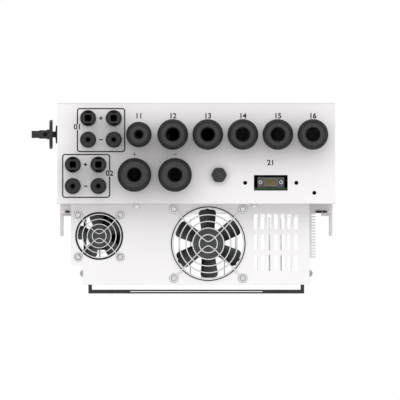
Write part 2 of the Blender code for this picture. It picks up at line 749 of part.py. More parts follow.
def make_vent_plug():
    x, y = plug_place()
    corner = PLUG_FLATS / math.sqrt(3)
    turns = [math.radians(60 * i) for i in range(6)]
    outline = [(x + corner * math.cos(turn), y + corner * math.sin(turn)) for turn in turns]
    low = BOTTOM_Z - SEAT - PLUG_HEIGHT
    bm = bmesh.new()
    add_prism(bm, outline, low, BOTTOM_Z - SEAT)
    plug = piece("vent_plug", bm, "dark_plastic")
    bm = bmesh.new()
    top = PLATE_TOP_Z + PLUG_NECK
    add_bore(bm, PLUG_NECK_DIAMETER, (x, y, 0), low + PLUG_HEIGHT / 2, top, sides=COARSE)
    fuse(plug, bm)


def make_data_port():
    """Port behind the window, carried by an upright board that stands on the gland plate."""
    left, front, right, rear = port_window()
    flange = (left + PORT_MARGIN, front + PORT_FRONT_MARGIN, right - PORT_MARGIN, rear - PORT_STRIP)
    flange_z = PLATE_TOP_Z + PORT_ABOVE_PLATE
    bm = bmesh.new()
    add_prism(bm, rectangle(*flange), flange_z, flange_z + PORT_FLANGE_SHEET + PORT_BLOCK)
    port = piece("comm_port", bm, "aluminium")
    bm = bmesh.new()
    x = (flange[0] + flange[2]) / 2
    y = (flange[1] + flange[3]) / 2
    wide, narrow = PORT_SHELL_WIDTH / 2, PORT_SHELL_WIDTH / 2 - PORT_SHELL_TAPER
    near, far = y - PORT_SHELL_DEPTH / 2, y + PORT_SHELL_DEPTH / 2
    outline = [(x - narrow, near), (x + narrow, near), (x + wide, far), (x - wide, far)]
    add_prism(bm, outline, flange_z - PORT_SHELL_DROP, flange_z + PORT_BLOCK / 2)
    fuse(port, bm)

    bm = bmesh.new()
    start = flange[3] + SEAT
    low = (left - COMM_BOARD_OVERHANG, start, PLATE_TOP_Z + SEAT)
    high = (right + COMM_BOARD_OVERHANG, start + BOARD_SHEET, PLATE_TOP_Z + SEAT + COMM_BOARD_HEIGHT)
    add_box(bm, low, high)
    piece("comm_board", bm, "board_green")


def fan_sizes():
    """Everything that differs between the large and the small fan."""
    large = {
        "name": "large_fan",
        "x": LARGE_FAN_X,
        "y": LARGE_FAN_Y,
        "half": LARGE_FAN_SIZE / 2,
        "depth": LARGE_FAN_DEPTH,
        "bore": LARGE_FAN_SIZE / 2 - LARGE_FAN_RIM,
        "hub": LARGE_FAN_HUB / 2,
        "tip_gap": LARGE_FAN_TIP_GAP,
        "screw": LARGE_FAN_SIZE / 2 - LARGE_FAN_SCREW_INSET,
        "blades": LARGE_FAN_BLADES,
        "blade_root": LARGE_FAN_BLADE_ROOT,
        "blade_tip": LARGE_FAN_BLADE_TIP,
        "blade_turn": LARGE_FAN_BLADE_TURN,
        "strut_turn": LARGE_FAN_STRUT_TURN,
        "wire": LARGE_GUARD_WIRE,
        "rings": [LARGE_GUARD_INNER + i * LARGE_GUARD_STEP for i in range(LARGE_GUARD_RINGS)],
    }
    small = {
        "name": "small_fan",
        "x": SMALL_FAN_X,
        "y": SMALL_FAN_Y,
        "half": SMALL_FAN_SIZE / 2,
        "depth": SMALL_FAN_DEPTH,
        "bore": SMALL_FAN_SIZE / 2 - SMALL_FAN_RIM,
        "hub": SMALL_FAN_HUB / 2,
        "tip_gap": SMALL_FAN_TIP_GAP,
        "screw": SMALL_FAN_SIZE / 2 - SMALL_FAN_SCREW_INSET,
        "blades": SMALL_FAN_BLADES,
        "blade_root": SMALL_FAN_BLADE_ROOT,
        "blade_tip": SMALL_FAN_BLADE_TIP,
        "blade_turn": SMALL_FAN_BLADE_TURN,
        "strut_turn": SMALL_FAN_STRUT_TURN,
        "wire": SMALL_GUARD_WIRE,
        "rings": [SMALL_GUARD_INNER + i * SMALL_GUARD_STEP for i in range(SMALL_GUARD_RINGS)],
    }
    return large, small


def fan_corners(fan):
    """The four screw places of a fan."""
    reach = fan["screw"]
    return [(fan["x"] + i * reach, fan["y"] + j * reach) for i in (-1, 1) for j in (-1, 1)]


def duct_outline():
    """The duct's plan: the main channel and the wing on the left that takes the small fan."""
    return [
        (WING_X, DUCT_FRONT_Y),
        (DUCT_HALF, DUCT_FRONT_Y),
        (DUCT_HALF, DUCT_BACK_Y),
        (-DUCT_HALF, DUCT_BACK_Y),
        (-DUCT_HALF, WING_BACK_Y),
        (WING_X, WING_BACK_Y),
    ]


def make_duct_plate():
    bm = bmesh.new()
    add_prism(bm, duct_outline(), DUCT_Z, DUCT_Z + DUCT_PLATE_SHEET)
    plate = piece("duct_plate", bm, "white_paint")
    low, high = DUCT_Z - PAST, DUCT_Z + DUCT_PLATE_SHEET + PAST
    bm = bmesh.new()
    for fan in fan_sizes():
        add_bore(bm, 2 * fan["bore"], (fan["x"], fan["y"], 0), low, high, sides=FINE)
        for x, y in fan_corners(fan):
            add_bore(bm, FAN_SCREW_HOLE, (x, y, 0), low, high, sides=TINY)
    for row in range(SLOT_ROWS):
        y = LARGE_FAN_Y + SLOT_SHIFT + (row - (SLOT_ROWS - 1) / 2) * (SLOT_LENGTH + SLOT_ROW_SPACE)
        for column in range(SLOT_COLUMNS):
            x = FIRST_SLOT_X + column * SLOT_PITCH
            add_prism(bm, slot(x, y, SLOT_WIDTH, SLOT_LENGTH), low, high)
    cut(plate, bm)


def vent_outline():
    """Toothed strip on the shroud's right side."""
    start = DUCT_BACK_Y - VENT_FROM_BACK
    points = [(DUCT_HALF - DUCT_SHEET / 2, start)]
    for i in range(VENT_TEETH):
        y = start - i * VENT_PITCH
        points += [(DUCT_HALF + VENT_REACH, y), (DUCT_HALF + VENT_REACH, y - VENT_TOOTH)]
        if i < VENT_TEETH - 1:
            points += [(DUCT_HALF + VENT_BASE, y - VENT_TOOTH), (DUCT_HALF + VENT_BASE, y - VENT_PITCH)]
    end = start - (VENT_TEETH - 1) * VENT_PITCH - VENT_TOOTH
    points.append((DUCT_HALF - DUCT_SHEET / 2, end))
    return points


def make_shroud():
    """Sheet channel behind the cabinet, open in front, below and on top, with the small fan's open wing."""
    top_z = TOP_Z - SHROUD_BELOW_TOP
    wing_z = DECK_Z - SEAT
    bm = bmesh.new()
    add_box(bm, (-DUCT_HALF, BODY_BACK_Y + SEAT, FAN_Z), (DUCT_HALF, DUCT_BACK_Y, top_z))
    shroud = piece("heatsink_shroud", bm, "white_paint")
    bm = bmesh.new()
    add_prism(bm, duct_outline(), FAN_Z, wing_z)
    fuse(shroud, bm)
    bm = bmesh.new()
    low_z = FAN_Z + VENT_FROM_BOTTOM
    add_prism(bm, vent_outline(), low_z, low_z + VENT_HEIGHT)
    fuse(shroud, bm)
    bm = bmesh.new()
    inside = DUCT_HALF - DUCT_SHEET
    low = (-inside, DUCT_FRONT_Y - PAST, FAN_Z - PAST)
    add_box(bm, low, (inside, DUCT_BACK_Y - DUCT_SHEET, top_z + PAST))
    cut(shroud, bm)
    bm = bmesh.new()
    low = (WING_X + DUCT_SHEET, DUCT_FRONT_Y - PAST, FAN_Z - PAST)
    add_box(bm, low, (-DUCT_HALF + PAST, WING_BACK_Y - DUCT_SHEET, wing_z + DUCT_SHEET))
    for side in (-1, 1):
        wall = side * DUCT_HALF
        add_bore(bm, LOCK_SHANK + 2 * SEAT, LOCK_AXIS, wall - PAST, wall + PAST, "X", COARSE)
    cut(shroud, bm)


def make_heatsink():
    """Base on the cabinet's back wall with upright fins in the duct."""
    half = DUCT_HALF - DUCT_SHEET - SEAT
    front = BODY_BACK_Y + SEAT
    root = front + HEATSINK_BASE
    tip = DUCT_BACK_Y - DUCT_SHEET - FIN_BACK_GAP
    outline = [(-half, front), (half, front), (half, root)]
    outermost = DUCT_HALF - LOCK_LENGTH - FIN_FROM_SCREW - FIN / 2
    last = math.floor((outermost - FIN_SHIFT) / FIN_PITCH)
    first = math.ceil((-outermost - FIN_SHIFT) / FIN_PITCH)
    for i in range(last, first - 1, -1):
        x = FIN_SHIFT + i * FIN_PITCH
        outline += [(x + FIN / 2, root), (x + FIN / 2, tip), (x - FIN / 2, tip), (x - FIN / 2, root)]
    outline.append((-half, root))
    bm = bmesh.new()
    add_prism(bm, outline, DECK_Z + HEATSINK_ABOVE_DECK, TOP_Z - HEATSINK_BELOW_TOP)
    piece("heatsink", bm, "aluminium")


def make_fan_frame(fan):
    """Square frame with the motor cup on struts at the top and the shaft below the cup."""
    x, y, half, bore = fan["x"], fan["y"], fan["half"], fan["bore"]
    top = FAN_Z + fan["depth"]
    strut_z = top - FAN_STRUT_HEIGHT
    bm = bmesh.new()
    outline = rounded(x - half, y - half, x + half, y + half, [FAN_CORNER] * 4)
    add_prism(bm, outline, FAN_Z, top)
    frame = piece(fan["name"] + "_frame", bm, "black_plastic")
    bm = bmesh.new()
    add_bore(bm, 2 * bore, (x, y, 0), FAN_Z - PAST, top + PAST, sides=FINE)
    for corner in fan_corners(fan):
        add_bore(bm, FAN_SCREW_HOLE, (*corner, 0), FAN_Z - PAST, top + PAST, sides=TINY)
    cut(frame, bm)
    wall = (bore + half) / 2
    for i in range(FAN_STRUTS):
        turn = math.radians(fan["strut_turn"]) + 2 * math.pi * i / FAN_STRUTS
        bm = bmesh.new()
        add_box(bm, (0, -FAN_STRUT / 2, strut_z), (wall, FAN_STRUT / 2, top - SEAT))
        bmesh.ops.transform(bm, matrix=Matrix.Rotation(turn, 4, "Z"), verts=bm.verts)
        bmesh.ops.translate(bm, vec=(x, y, 0), verts=bm.verts)
        fuse(frame, bm)
    shaft = FAN_SHAFT / 2
    shaft_z = FAN_Z + FAN_SHAFT_END
    profile = [(0, top), (fan["hub"], top), (fan["hub"], strut_z + SEAT), (shaft, strut_z + SEAT)]
    profile += [(shaft, shaft_z), (0, shaft_z)]
    bm = bmesh.new()
    add_turned(bm, profile, (x, y, 0))
    fuse(frame, bm)


def add_blade(bm, fan, turn, low, high):
    """A blade that climbs from its leading to its trailing edge, as wide in plan as the fan says."""
    root = fan["hub"] - FAN_BLADE_INSET
    tip = fan["bore"] - fan["tip_gap"]
    stations, chord = BLADE_STATIONS, BLADE_CHORD
    faces = []
    for lift in (0, FAN_BLADE):
        grid = []
        for i in range(stations):
            share = i / (stations - 1)
            radius = root + (tip - root) * share
            width = fan["blade_root"] + (fan["blade_tip"] - fan["blade_root"]) * share
            row = []
            for j in range(chord):
                across = j / (chord - 1)
                angle = turn + (across - 0.5) * width / radius
                z = low + (high - low - FAN_BLADE) * across + lift
                spot = (fan["x"] + radius * math.cos(angle), fan["y"] + radius * math.sin(angle), z)
                row.append(bm.verts.new(spot))
            grid.append(row)
        for i in range(stations - 1):
            for j in range(chord - 1):
                bm.faces.new((grid[i][j], grid[i + 1][j], grid[i + 1][j + 1], grid[i][j + 1]))
        edge = [row[0] for row in grid] + grid[-1][1:] + [row[-1] for row in grid[-2::-1]]
        edge += grid[0][-2:0:-1]
        faces.append(edge)
    under, over = faces
    for i, vertex in enumerate(under):
        j = (i + 1) % len(under)
        bm.faces.new((vertex, under[j], over[j], over[i]))


def make_fan_rotor(fan):
    """Hub with a blind bore for the shaft, and its blades."""
    low = FAN_Z + FAN_HUB_RISE
    high = FAN_Z + fan["depth"] - FAN_STRUT_HEIGHT - RUN
    bore = FAN_SHAFT / 2 + RUN
    bore_z = FAN_Z + FAN_SHAFT_END - RUN
    hub = fan["hub"]
    profile = [(0, low), (hub, low), (hub, high), (bore, high), (bore, bore_z), (0, bore_z)]
    bm = bmesh.new()
    add_turned(bm, profile, (fan["x"], fan["y"], 0))
    rotor = piece(fan["name"] + "_rotor", bm, "black_plastic", (fan["x"], fan["y"], low))
    bm = bmesh.new()
    for i in range(fan["blades"]):
        turn = math.radians(fan["blade_turn"]) + 2 * math.pi * i / fan["blades"]
        add_blade(bm, fan, turn, low + FAN_BLADE_INSET, high - FAN_BLADE_INSET)
    fuse(rotor, bm)


def make_fan_guard(fan):
    """Wire rings on two bent wires, whose eyes lie under the duct plate at the fan's screws."""
    wire = fan["wire"]
    bent_z = DUCT_Z - SEAT - wire / 2
    ring_z = bent_z - GUARD_WELD * wire
    bm = bmesh.new()
    for radius in fan["rings"]:
        add_ring(bm, radius, wire, (fan["x"], fan["y"], ring_z))
    guard = piece(fan["name"] + "_guard", bm, "wire_steel")
    reach = fan["screw"]
    eye = GUARD_EYE_HOLE / 2 + GUARD_EYE_WALL / 2
    stop = reach - eye * math.sqrt(0.5)
    bm = bmesh.new()
    slope = (stop - GUARD_APEX) / math.hypot(stop, GUARD_BEND)
    for way in (-1, 1):
        points = []
        for i in range(-GUARD_STEPS, GUARD_STEPS + 1):
            x = stop * i * abs(i) / GUARD_STEPS**2
            y = way * (GUARD_APEX + slope * math.hypot(x, GUARD_BEND))
            points.append(Vector((fan["x"] + x, fan["y"] + y, bent_z)))
        add_wire(bm, points, wire)
    fuse(guard, bm)
    bm = bmesh.new()
    inner = GUARD_EYE_HOLE / 2
    outer = inner + GUARD_EYE_WALL
    rise = GUARD_EYE_FLAT * wire / 2
    profile = [(inner, -rise), (outer, -rise), (outer, rise), (inner, rise)]
    for x, y in fan_corners(fan):
        add_turned(bm, profile, (x, y, bent_z), sides=COARSE)
    fuse(guard, bm)


def make_wall_bracket():
    """Slotted bar flat on the wall, with a leg at each end that reaches the shroud's back."""
    half = BRACKET_WIDTH / 2
    rise = BRACKET_HEIGHT / 2
    outline = [(-half, 0), (-half, -BRACKET_DEPTH), (-half + BRACKET_LEG, -BRACKET_DEPTH)]
    outline += [(-half + BRACKET_LEG, -BRACKET_BAR), (half - BRACKET_LEG, -BRACKET_BAR)]
    outline += [(half - BRACKET_LEG, -BRACKET_DEPTH), (half, -BRACKET_DEPTH), (half, 0)]
    bm = bmesh.new()
    add_prism(bm, outline, -rise, rise)
    bracket = piece("wall_bracket", bm, "grey_steel")
    bm = bmesh.new()
    middle = -BRACKET_BAR / 2
    low = (-BRACKET_SLOT_HALF, middle - BRACKET_SLOT / 2, -rise - PAST)
    add_box(bm, low, (BRACKET_SLOT_HALF, middle + BRACKET_SLOT / 2, rise + PAST))
    for x in (-BRACKET_HOLE_X, BRACKET_HOLE_X):
        for z in (-BRACKET_HOLE_Z, BRACKET_HOLE_Z):
            add_bore(bm, BRACKET_HOLE, (x, 0, z), -BRACKET_BAR - PAST, PAST, "Y", COARSE)
    cut(bracket, bm)


def make_lock_screws():
    """Dome-headed screws through the shroud's sides."""
    head = LOCK_HEAD / 2
    shank = LOCK_SHANK / 2
    for name, side in (("lock_screw_left", -1), ("lock_screw_right", 1)):
        seat = DUCT_HALF + SEAT
        profile = [(0, seat - SEAT - LOCK_LENGTH), (shank, seat - SEAT - LOCK_LENGTH), (shank, seat)]
        profile.append((head, seat))
        for i in range(1, LOCK_DOME_STEPS):
            turn = math.pi / 2 * i / LOCK_DOME_STEPS
            profile.append((head * math.cos(turn), seat + LOCK_HEAD_HEIGHT * math.sin(turn)))
        profile.append((0, seat + LOCK_HEAD_HEIGHT))
        profile = [(radius, side * place) for radius, place in profile]
        bm = bmesh.new()
        add_turned(bm, profile, LOCK_AXIS, "X", COARSE)
        piece(name, bm, "wire_steel")


def make_side_handles():
    """Angle plates on the cabinet's back wall, each with a grip hole."""
    low_z = DECK_Z + HANDLE_ABOVE_DECK
    seat = BODY_BACK_Y + SEAT
    for name, side in (("side_handle_left", -1), ("side_handle_right", 1)):
        outer = side * BODY_HALF
        inner = side * (BODY_HALF - HANDLE_SHEET)
        foot = side * (BODY_HALF - HANDLE_FOOT)
        end = seat + HANDLE_REACH
        outline = [(outer, seat), (outer, end), (inner, end), (inner, seat + HANDLE_SHEET)]
        outline += [(foot, seat + HANDLE_SHEET), (foot, seat)]
        bm = bmesh.new()
        add_prism(bm, outline, low_z, low_z + HANDLE_LENGTH)
        handle = piece(name, bm, "white_paint")
        bm = bmesh.new()
        y = (seat + HANDLE_SHEET + end) / 2
        grip = slot(y, low_z + HANDLE_LENGTH / 2, HANDLE_GRIP_WIDTH, HANDLE_GRIP_LENGTH)
        near, far = sorted((inner - side * PAST, outer + side * PAST))
        add_prism(bm, grip, near, far, "X")
        cut(handle, bm)


def make_dc_switch():
    """Switch body inside the left wall, escutcheon outside, and the knob whose stem runs through both."""
    _, y, z = SWITCH_AXIS
    wall = -HALF_WIDTH
    bore = SWITCH_STEM + 2 * RUN
    seat = wall + SHEET + SEAT
    half = SWITCH_BODY_SIZE / 2
    stem_end = seat + SWITCH_STEM_INSIDE
    bm = bmesh.new()
    add_box(bm, (seat, y - half, z - half), (seat + SWITCH_BODY_LENGTH, y + half, z + half))
    body = piece("dc_switch_body", bm, "black_plastic")
    bm = bmesh.new()
    add_bore(bm, bore, SWITCH_AXIS, seat - PAST, stem_end + RUN, "X")
    cut(body, bm)

    base_out = wall - SEAT - SWITCH_BASE_HEIGHT
    radius = SWITCH_BASE / 2
    profile = [(bore / 2, wall - SEAT), (radius, wall - SEAT), (radius - SEAT, base_out)]
    profile.append((bore / 2, base_out))
    bm = bmesh.new()
    add_turned(bm, profile, SWITCH_AXIS, "X")
    piece("dc_switch_base", bm, "dark_plastic")

    disc_in = base_out - SWITCH_STEM_SHOWN
    disc_out = disc_in - SWITCH_DISC_HEIGHT
    stem = SWITCH_STEM / 2
    disc = SWITCH_DISC / 2
    edge = SWITCH_DISC_ROUND
    profile = [(0, stem_end), (stem, stem_end), (stem, disc_in), (disc, disc_in), (disc, disc_out + edge)]
    profile += [(disc - edge, disc_out), (0, disc_out)]
    bm = bmesh.new()
    add_turned(bm, profile, SWITCH_AXIS, "X", FINE)
    knob = piece("dc_switch_knob", bm, "dark_plastic", (disc_in, y, z))
    tip = disc_out - SWITCH_LEVER_LENGTH
    shoulder = tip + SWITCH_LEVER_TIP_LENGTH
    step = disc_out - SWITCH_LEVER_STEP
    half_widths = [(tip, SWITCH_LEVER_TIP), (shoulder, SWITCH_LEVER_TIP), (shoulder, SWITCH_LEVER_MIDDLE)]
    half_widths += [(step, SWITCH_LEVER_MIDDLE), (step, SWITCH_LEVER_ROOT)]
    half_widths.append((disc_out + SWITCH_DISC_HEIGHT / 2, SWITCH_LEVER_ROOT))
    outline = [(x, y - width / 2) for x, width in half_widths]
    outline += [(x, y + width / 2) for x, width in reversed(half_widths)]
    bm = bmesh.new()
    add_prism(bm, outline, z - SWITCH_LEVER_HEIGHT / 2, z + SWITCH_LEVER_HEIGHT / 2)
    fuse(knob, bm)


def make_display():
    """Lens in the front cover, module behind it, and sprung keys over the module's set-back board."""
    bm = bmesh.new()
    low = (-LENS_WIDTH / 2, FRONT_Y, LENS_Z - LENS_HEIGHT / 2)
    add_box(bm, low, (LENS_WIDTH / 2, COVER_INSIDE_Y, LENS_Z + LENS_HEIGHT / 2))
    piece("display_lens", bm, "lens")

    front = KEY_INSIDE_Y
    back = front + MODULE_DEPTH
    board = front + KEY_FLANGE_HEIGHT + KEY_TRAVEL + SEAT
    top_z = LENS_Z + LENS_HEIGHT / 2 + MODULE_MARGIN
    board_z = KEY_Z - KEY_FLANGE / 2 - KEY_BOARD_MARGIN
    outline = [(front, top_z), (front, MODULE_BOTTOM_Z), (board, MODULE_BOTTOM_Z), (board, board_z)]
    outline += [(board + KEY_BOARD, board_z), (board + KEY_BOARD, MODULE_BOTTOM_Z)]
    outline += [(back, MODULE_BOTTOM_Z), (back, top_z)]
    bm = bmesh.new()
    add_prism(bm, outline, -MODULE_HALF, MODULE_HALF, "X")
    piece("display_module", bm, "black_plastic")

    cap = KEY_DIAMETER / 2
    flange = KEY_FLANGE / 2
    flange_back = front + KEY_FLANGE_HEIGHT
    profile = [(0, FRONT_Y), (cap, FRONT_Y), (cap, front), (flange, front), (flange, flange_back)]
    profile.append((0, flange_back))
    for name, x in zip(KEY_NAMES, key_places()):
        bm = bmesh.new()
        add_turned(bm, profile, (x, 0, KEY_Z), "Y", COARSE)
        piece(name, bm, "dark_plastic", (x, FRONT_Y, KEY_Z))


def make_power_board():
    """Main board with power modules that reach the heatsink's base through the cabinet's back wall."""
    front = POWER_BOARD_Y - BOARD_SHEET
    half = POWER_BOARD_WIDTH / 2
    bm = bmesh.new()
    add_box(bm, (-half, front, POWER_BOARD_Z), (half, POWER_BOARD_Y, POWER_BOARD_Z + POWER_BOARD_HEIGHT))
    board = piece("power_board", bm, "board_green")
    bm = bmesh.new()
    middle_z = POWER_BOARD_Z + POWER_BOARD_HEIGHT / 2
    pitch = POWER_MODULE_WIDTH + POWER_MODULE_SPACE
    rise = POWER_MODULE_HEIGHT / 2
    for i in range(POWER_MODULES):
        x = (i - (POWER_MODULES - 1) / 2) * pitch
        low = (x - POWER_MODULE_WIDTH / 2, POWER_BOARD_Y - BOARD_SHEET / 2, middle_z - rise)
        add_box(bm, low, (x + POWER_MODULE_WIDTH / 2, BODY_BACK_Y, middle_z + rise))
    fuse(board, bm)

    pitch = CAPACITOR + CAPACITOR_SPACE
    half = CAPACITORS * pitch / 2
    z = middle_z + CAPACITOR_ABOVE_MIDDLE
    back = front - SEAT
    bm = bmesh.new()
    rise = pitch / 2
    add_box(bm, (-half, back - CAPACITOR_BASE, z - rise), (half, back, z + rise))
    bank = piece("capacitor_bank", bm, "black_plastic")
    bm = bmesh.new()
    end = back - CAPACITOR_BASE - CAPACITOR_LENGTH
    for i in range(CAPACITORS):
        x = (i - (CAPACITORS - 1) / 2) * pitch
        add_bore(bm, CAPACITOR, (x, 0, z), end, back - CAPACITOR_BASE / 2, "Y", COARSE)
    fuse(bank, bm)


def make_choke_block():
    """Chokes potted in one block on the wiring box's rear wall, in the small fan's air."""
    left = -DUCT_HALF + DUCT_SHEET + CHOKE_FROM_SIDE
    front = WIRING_BACK_Y + SEAT
    low = FAN_Z + SMALL_FAN_DEPTH + CHOKE_ABOVE_FAN
    radii = (0, 0, SHEET_CORNER, SHEET_CORNER)
    outline = rounded(left, front, left + CHOKE_WIDTH, front + CHOKE_DEPTH, radii)
    bm = bmesh.new()
    add_prism(bm, outline, low, low + CHOKE_HEIGHT)
    piece("choke_block", bm, "black_plastic")


def make_terminals():
    """Stepped terminal blocks on the wiring box's rear wall."""
    back = WIRING_BACK_Y - SHEET - SEAT
    front = back - TERMINAL_DEPTH
    low_z = BOTTOM_Z + TERMINAL_ABOVE_BOTTOM
    high_z = low_z + TERMINAL_HEIGHT
    step_z = low_z + TERMINAL_STEP
    outline = [(back, low_z), (back, high_z), (front + TERMINAL_STEP, high_z)]
    outline += [(front + TERMINAL_STEP, step_z), (front, step_z), (front, low_z)]
    blocks = [("ac_terminal_block", AC_TERMINAL_X, AC_POLES)]
    blocks.append(("battery_terminal_block", BATTERY_TERMINAL_X, BATTERY_POLES))
    for name, x, poles in blocks:
        half = poles * TERMINAL_POLE / 2
        bm = bmesh.new()
        add_prism(bm, outline, x - half, x + half, "X")
        piece(name, bm, "dark_plastic")


def main():
    clear_scene()
    root = bpy.data.objects.new("inverter", None)
    bpy.context.collection.objects.link(root)
    make_cabinet()
    make_covers()
    make_gland_plate()
    make_glands()
    make_pv_sockets()
    make_vent_plug()
    make_data_port()
    make_duct_plate()
    make_shroud()
    make_heatsink()
    for fan in fan_sizes():
        make_fan_frame(fan)
        make_fan_rotor(fan)
        make_fan_guard(fan)
    make_wall_bracket()
    make_lock_screws()
    make_side_handles()
    make_dc_switch()
    make_display()
    make_power_board()
    make_choke_block()
    make_terminals()


main()
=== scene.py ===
"""Looks of the wall-hung hybrid solar inverter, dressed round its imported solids. Metres, +Z up.

The camera looks straight up at the underside, with the covers' side at the top of the picture.
"""

import math

import bmesh
import bpy
from mathutils import Matrix, Vector


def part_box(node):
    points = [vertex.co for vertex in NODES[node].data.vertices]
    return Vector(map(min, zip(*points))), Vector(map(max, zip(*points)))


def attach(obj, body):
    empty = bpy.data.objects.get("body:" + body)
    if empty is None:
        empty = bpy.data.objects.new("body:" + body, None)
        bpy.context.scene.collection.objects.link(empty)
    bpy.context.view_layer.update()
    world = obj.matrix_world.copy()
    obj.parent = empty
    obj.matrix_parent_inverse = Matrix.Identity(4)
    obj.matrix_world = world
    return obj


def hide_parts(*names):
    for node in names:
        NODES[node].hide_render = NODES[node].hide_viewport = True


# Camera: the photograph's frame, its scale and the pixel where the wall face's middle lies
PHOTO_PIXELS = 400
PIXEL = 0.00152
ORIGIN_PIXEL = (196.2, 295.5)
LENS = 1400.0
SENSOR = 36.0

# Light. The sky's brightness is given from the horizon (0) to straight below or above (1)
SKY_BELOW = ((0.0, 0.37), (0.35, 1.29), (0.75, 1.72), (1.0, 0.32))
SKY_ABOVE = ((0.0, 0.15), (1.0, 1.3))
SKY_PEAK = 2.0
SKY_TILT = 0.45  # how much brighter it is from its main side, half way down
SKY_SIDE = (-0.1, -1.0)
DUCT_LIGHT = 0.0285  # watts of the strip that stands in for the light through the open duct
DUCT_LIGHT_DEPTH = 0.020
DUCT_LIGHT_FROM_FRONT = 0.012
DUCT_LIGHT_INSET = (0.003, 0.006)  # from the choke and from the plate's right edge
DUCT_LIGHT_ABOVE_FAN = 0.006
DUCT_LIGHT_SPREAD = math.radians(70)
FLOOR_BELOW = 0.6
FLOOR_SIZE = 40.0
FLOOR_TONES = (0.88, 0.90)

# How finely things are turned and how far their edges are eased
FINE = 144
SMOOTH = 72
ROUND = 40
SMALL = 24
HEX_SIDES = 36
WIRE_SIDES = 10
EASE = 0.0005
SHARP = math.radians(42)
SINK = 0.0001  # how far a print or a head sits in what carries it
TINY = 1e-5

# Finishes: the stretch of the noise that they use, how far the gloss varies, and which normals look down and
# take painted light
NOISE_LOW, NOISE_HIGH = 0.3, 0.7
GLOSS_RANGE = 0.06
PAINTED_LIGHT_NORMALS = (-0.97, -0.80)

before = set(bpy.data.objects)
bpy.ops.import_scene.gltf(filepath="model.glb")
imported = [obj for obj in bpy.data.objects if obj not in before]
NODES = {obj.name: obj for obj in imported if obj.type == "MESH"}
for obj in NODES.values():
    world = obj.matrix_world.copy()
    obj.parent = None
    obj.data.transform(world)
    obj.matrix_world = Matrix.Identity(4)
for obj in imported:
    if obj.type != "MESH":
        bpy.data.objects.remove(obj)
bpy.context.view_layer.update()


# Shader nodes

def add_node(tree, kind, links=(), **settings):
    """A shader node with its settings, and its inputs linked or set by name."""
    made = tree.nodes.new("ShaderNode" + kind)
    for name, value in settings.items():
        setattr(made, name, value)
    for name, value in dict(links).items():
        if isinstance(value, bpy.types.NodeSocket):
            tree.links.new(value, made.inputs[name])
        else:
            made.inputs[name].default_value = value
    return made


def add_math(tree, operation, first, second=0.0):
    return add_node(tree, "Math", {0: first, 1: second}, operation=operation).outputs[0]


def add_range(tree, source, start, end, low, high):
    """Spreads a stretch of a value over a new range."""
    values = {"Value": source, "From Min": start, "From Max": end, "To Min": low, "To Max": high}
    return add_node(tree, "MapRange", values).outputs["Result"]


def add_noise(tree, scale, detail=3.0, stretch=(1, 1, 1)):
    """Noise over the piece, in metres, drawn out along an axis by a small stretch there."""
    place = add_node(tree, "TexCoord").outputs["Object"]
    if stretch != (1, 1, 1):
        place = add_node(tree, "Mapping", {"Vector": place, "Scale": stretch}).outputs["Vector"]
    values = {"Vector": place, "Scale": scale, "Detail": detail, "Roughness": 0.6}
    return add_node(tree, "TexNoise", values).outputs["Fac"]


def add_ramp(tree, source, *stops):
    """Colours along a value: each stop is a place and a colour."""
    ramp = add_node(tree, "ValToRGB", {"Fac": source})
    elements = ramp.color_ramp.elements
    while len(elements) < len(stops):
        elements.new(1.0)
    for element, (place, colour) in zip(elements, stops):
        element.position = place
        element.color = (*colour, 1.0)
    return ramp.outputs["Color"]


def add_facing(tree):
    """How far the surface faces up (1) or down (-1)."""
    normal = add_node(tree, "NewGeometry").outputs["Normal"]
    return add_node(tree, "SeparateXYZ", {"Vector": normal}).outputs["Z"]


def shade(colour, share):
    return tuple(min(1.0, c * share) for c in colour)


def surface(name, colour, roughness, metallic=0.0, specular=0.5, vary=0.05, scale=30.0,
            grain=0.00002, grain_scale=900.0, stretch=(1, 1, 1), tint=None, lift=1.0):
    """A finish whose colour, gloss and fine relief change over the surface. Lift scales the colour of what
    looks down, as painted light from below.
    """
    made = bpy.data.materials.new(name)
    made.use_nodes = True
    tree = made.node_tree
    inputs = tree.nodes["Principled BSDF"].inputs
    dark, light = shade(colour, 1 - vary), tint or shade(colour, 1 + vary)
    tone = add_ramp(tree, add_noise(tree, scale, 4.0, stretch), (NOISE_LOW, dark), (NOISE_HIGH, light))
    # Painted light: the colour of faces that look down is scaled by lift, lighter where lift is above 1, as
    # if lit more from below
    if lift != 1.0:
        values = {"Vector": tone, "Scale": add_range(tree, add_facing(tree), *PAINTED_LIGHT_NORMALS, lift, 1.0)}
        tone = add_node(tree, "VectorMath", values, operation="SCALE").outputs["Vector"]
    fine = add_noise(tree, grain_scale, 2.0, stretch)
    gloss = add_range(tree, fine, NOISE_LOW, NOISE_HIGH, roughness - GLOSS_RANGE, roughness + GLOSS_RANGE)
    relief = add_node(tree, "Bump", {"Height": fine, "Distance": grain, "Strength": 1.0})
    tree.links.new(tone, inputs["Base Color"])
    tree.links.new(gloss, inputs["Roughness"])
    tree.links.new(relief.outputs["Normal"], inputs["Normal"])
    inputs["Metallic"].default_value = metallic
    inputs["Specular IOR Level"].default_value = specular
    return made


def circuit_board():
    """Green solder mask with paler tracks under it."""
    mask, track = (0.008, 0.040, 0.012), (0.02, 0.085, 0.026)
    made = surface("board_green", mask, 0.38, vary=0.15, scale=60.0)
    tree = made.node_tree
    values = {"Vector": add_node(tree, "TexCoord").outputs["Object"], "Scale": 140.0, "Randomness": 0.25}
    cells = add_node(tree, "TexVoronoi", values, feature="DISTANCE_TO_EDGE", distance="MANHATTAN")
    tracks = add_ramp(tree, cells.outputs["Distance"], (0.02, track), (0.09, mask))
    tree.links.new(tracks, tree.nodes["Principled BSDF"].inputs["Base Color"])
    return made


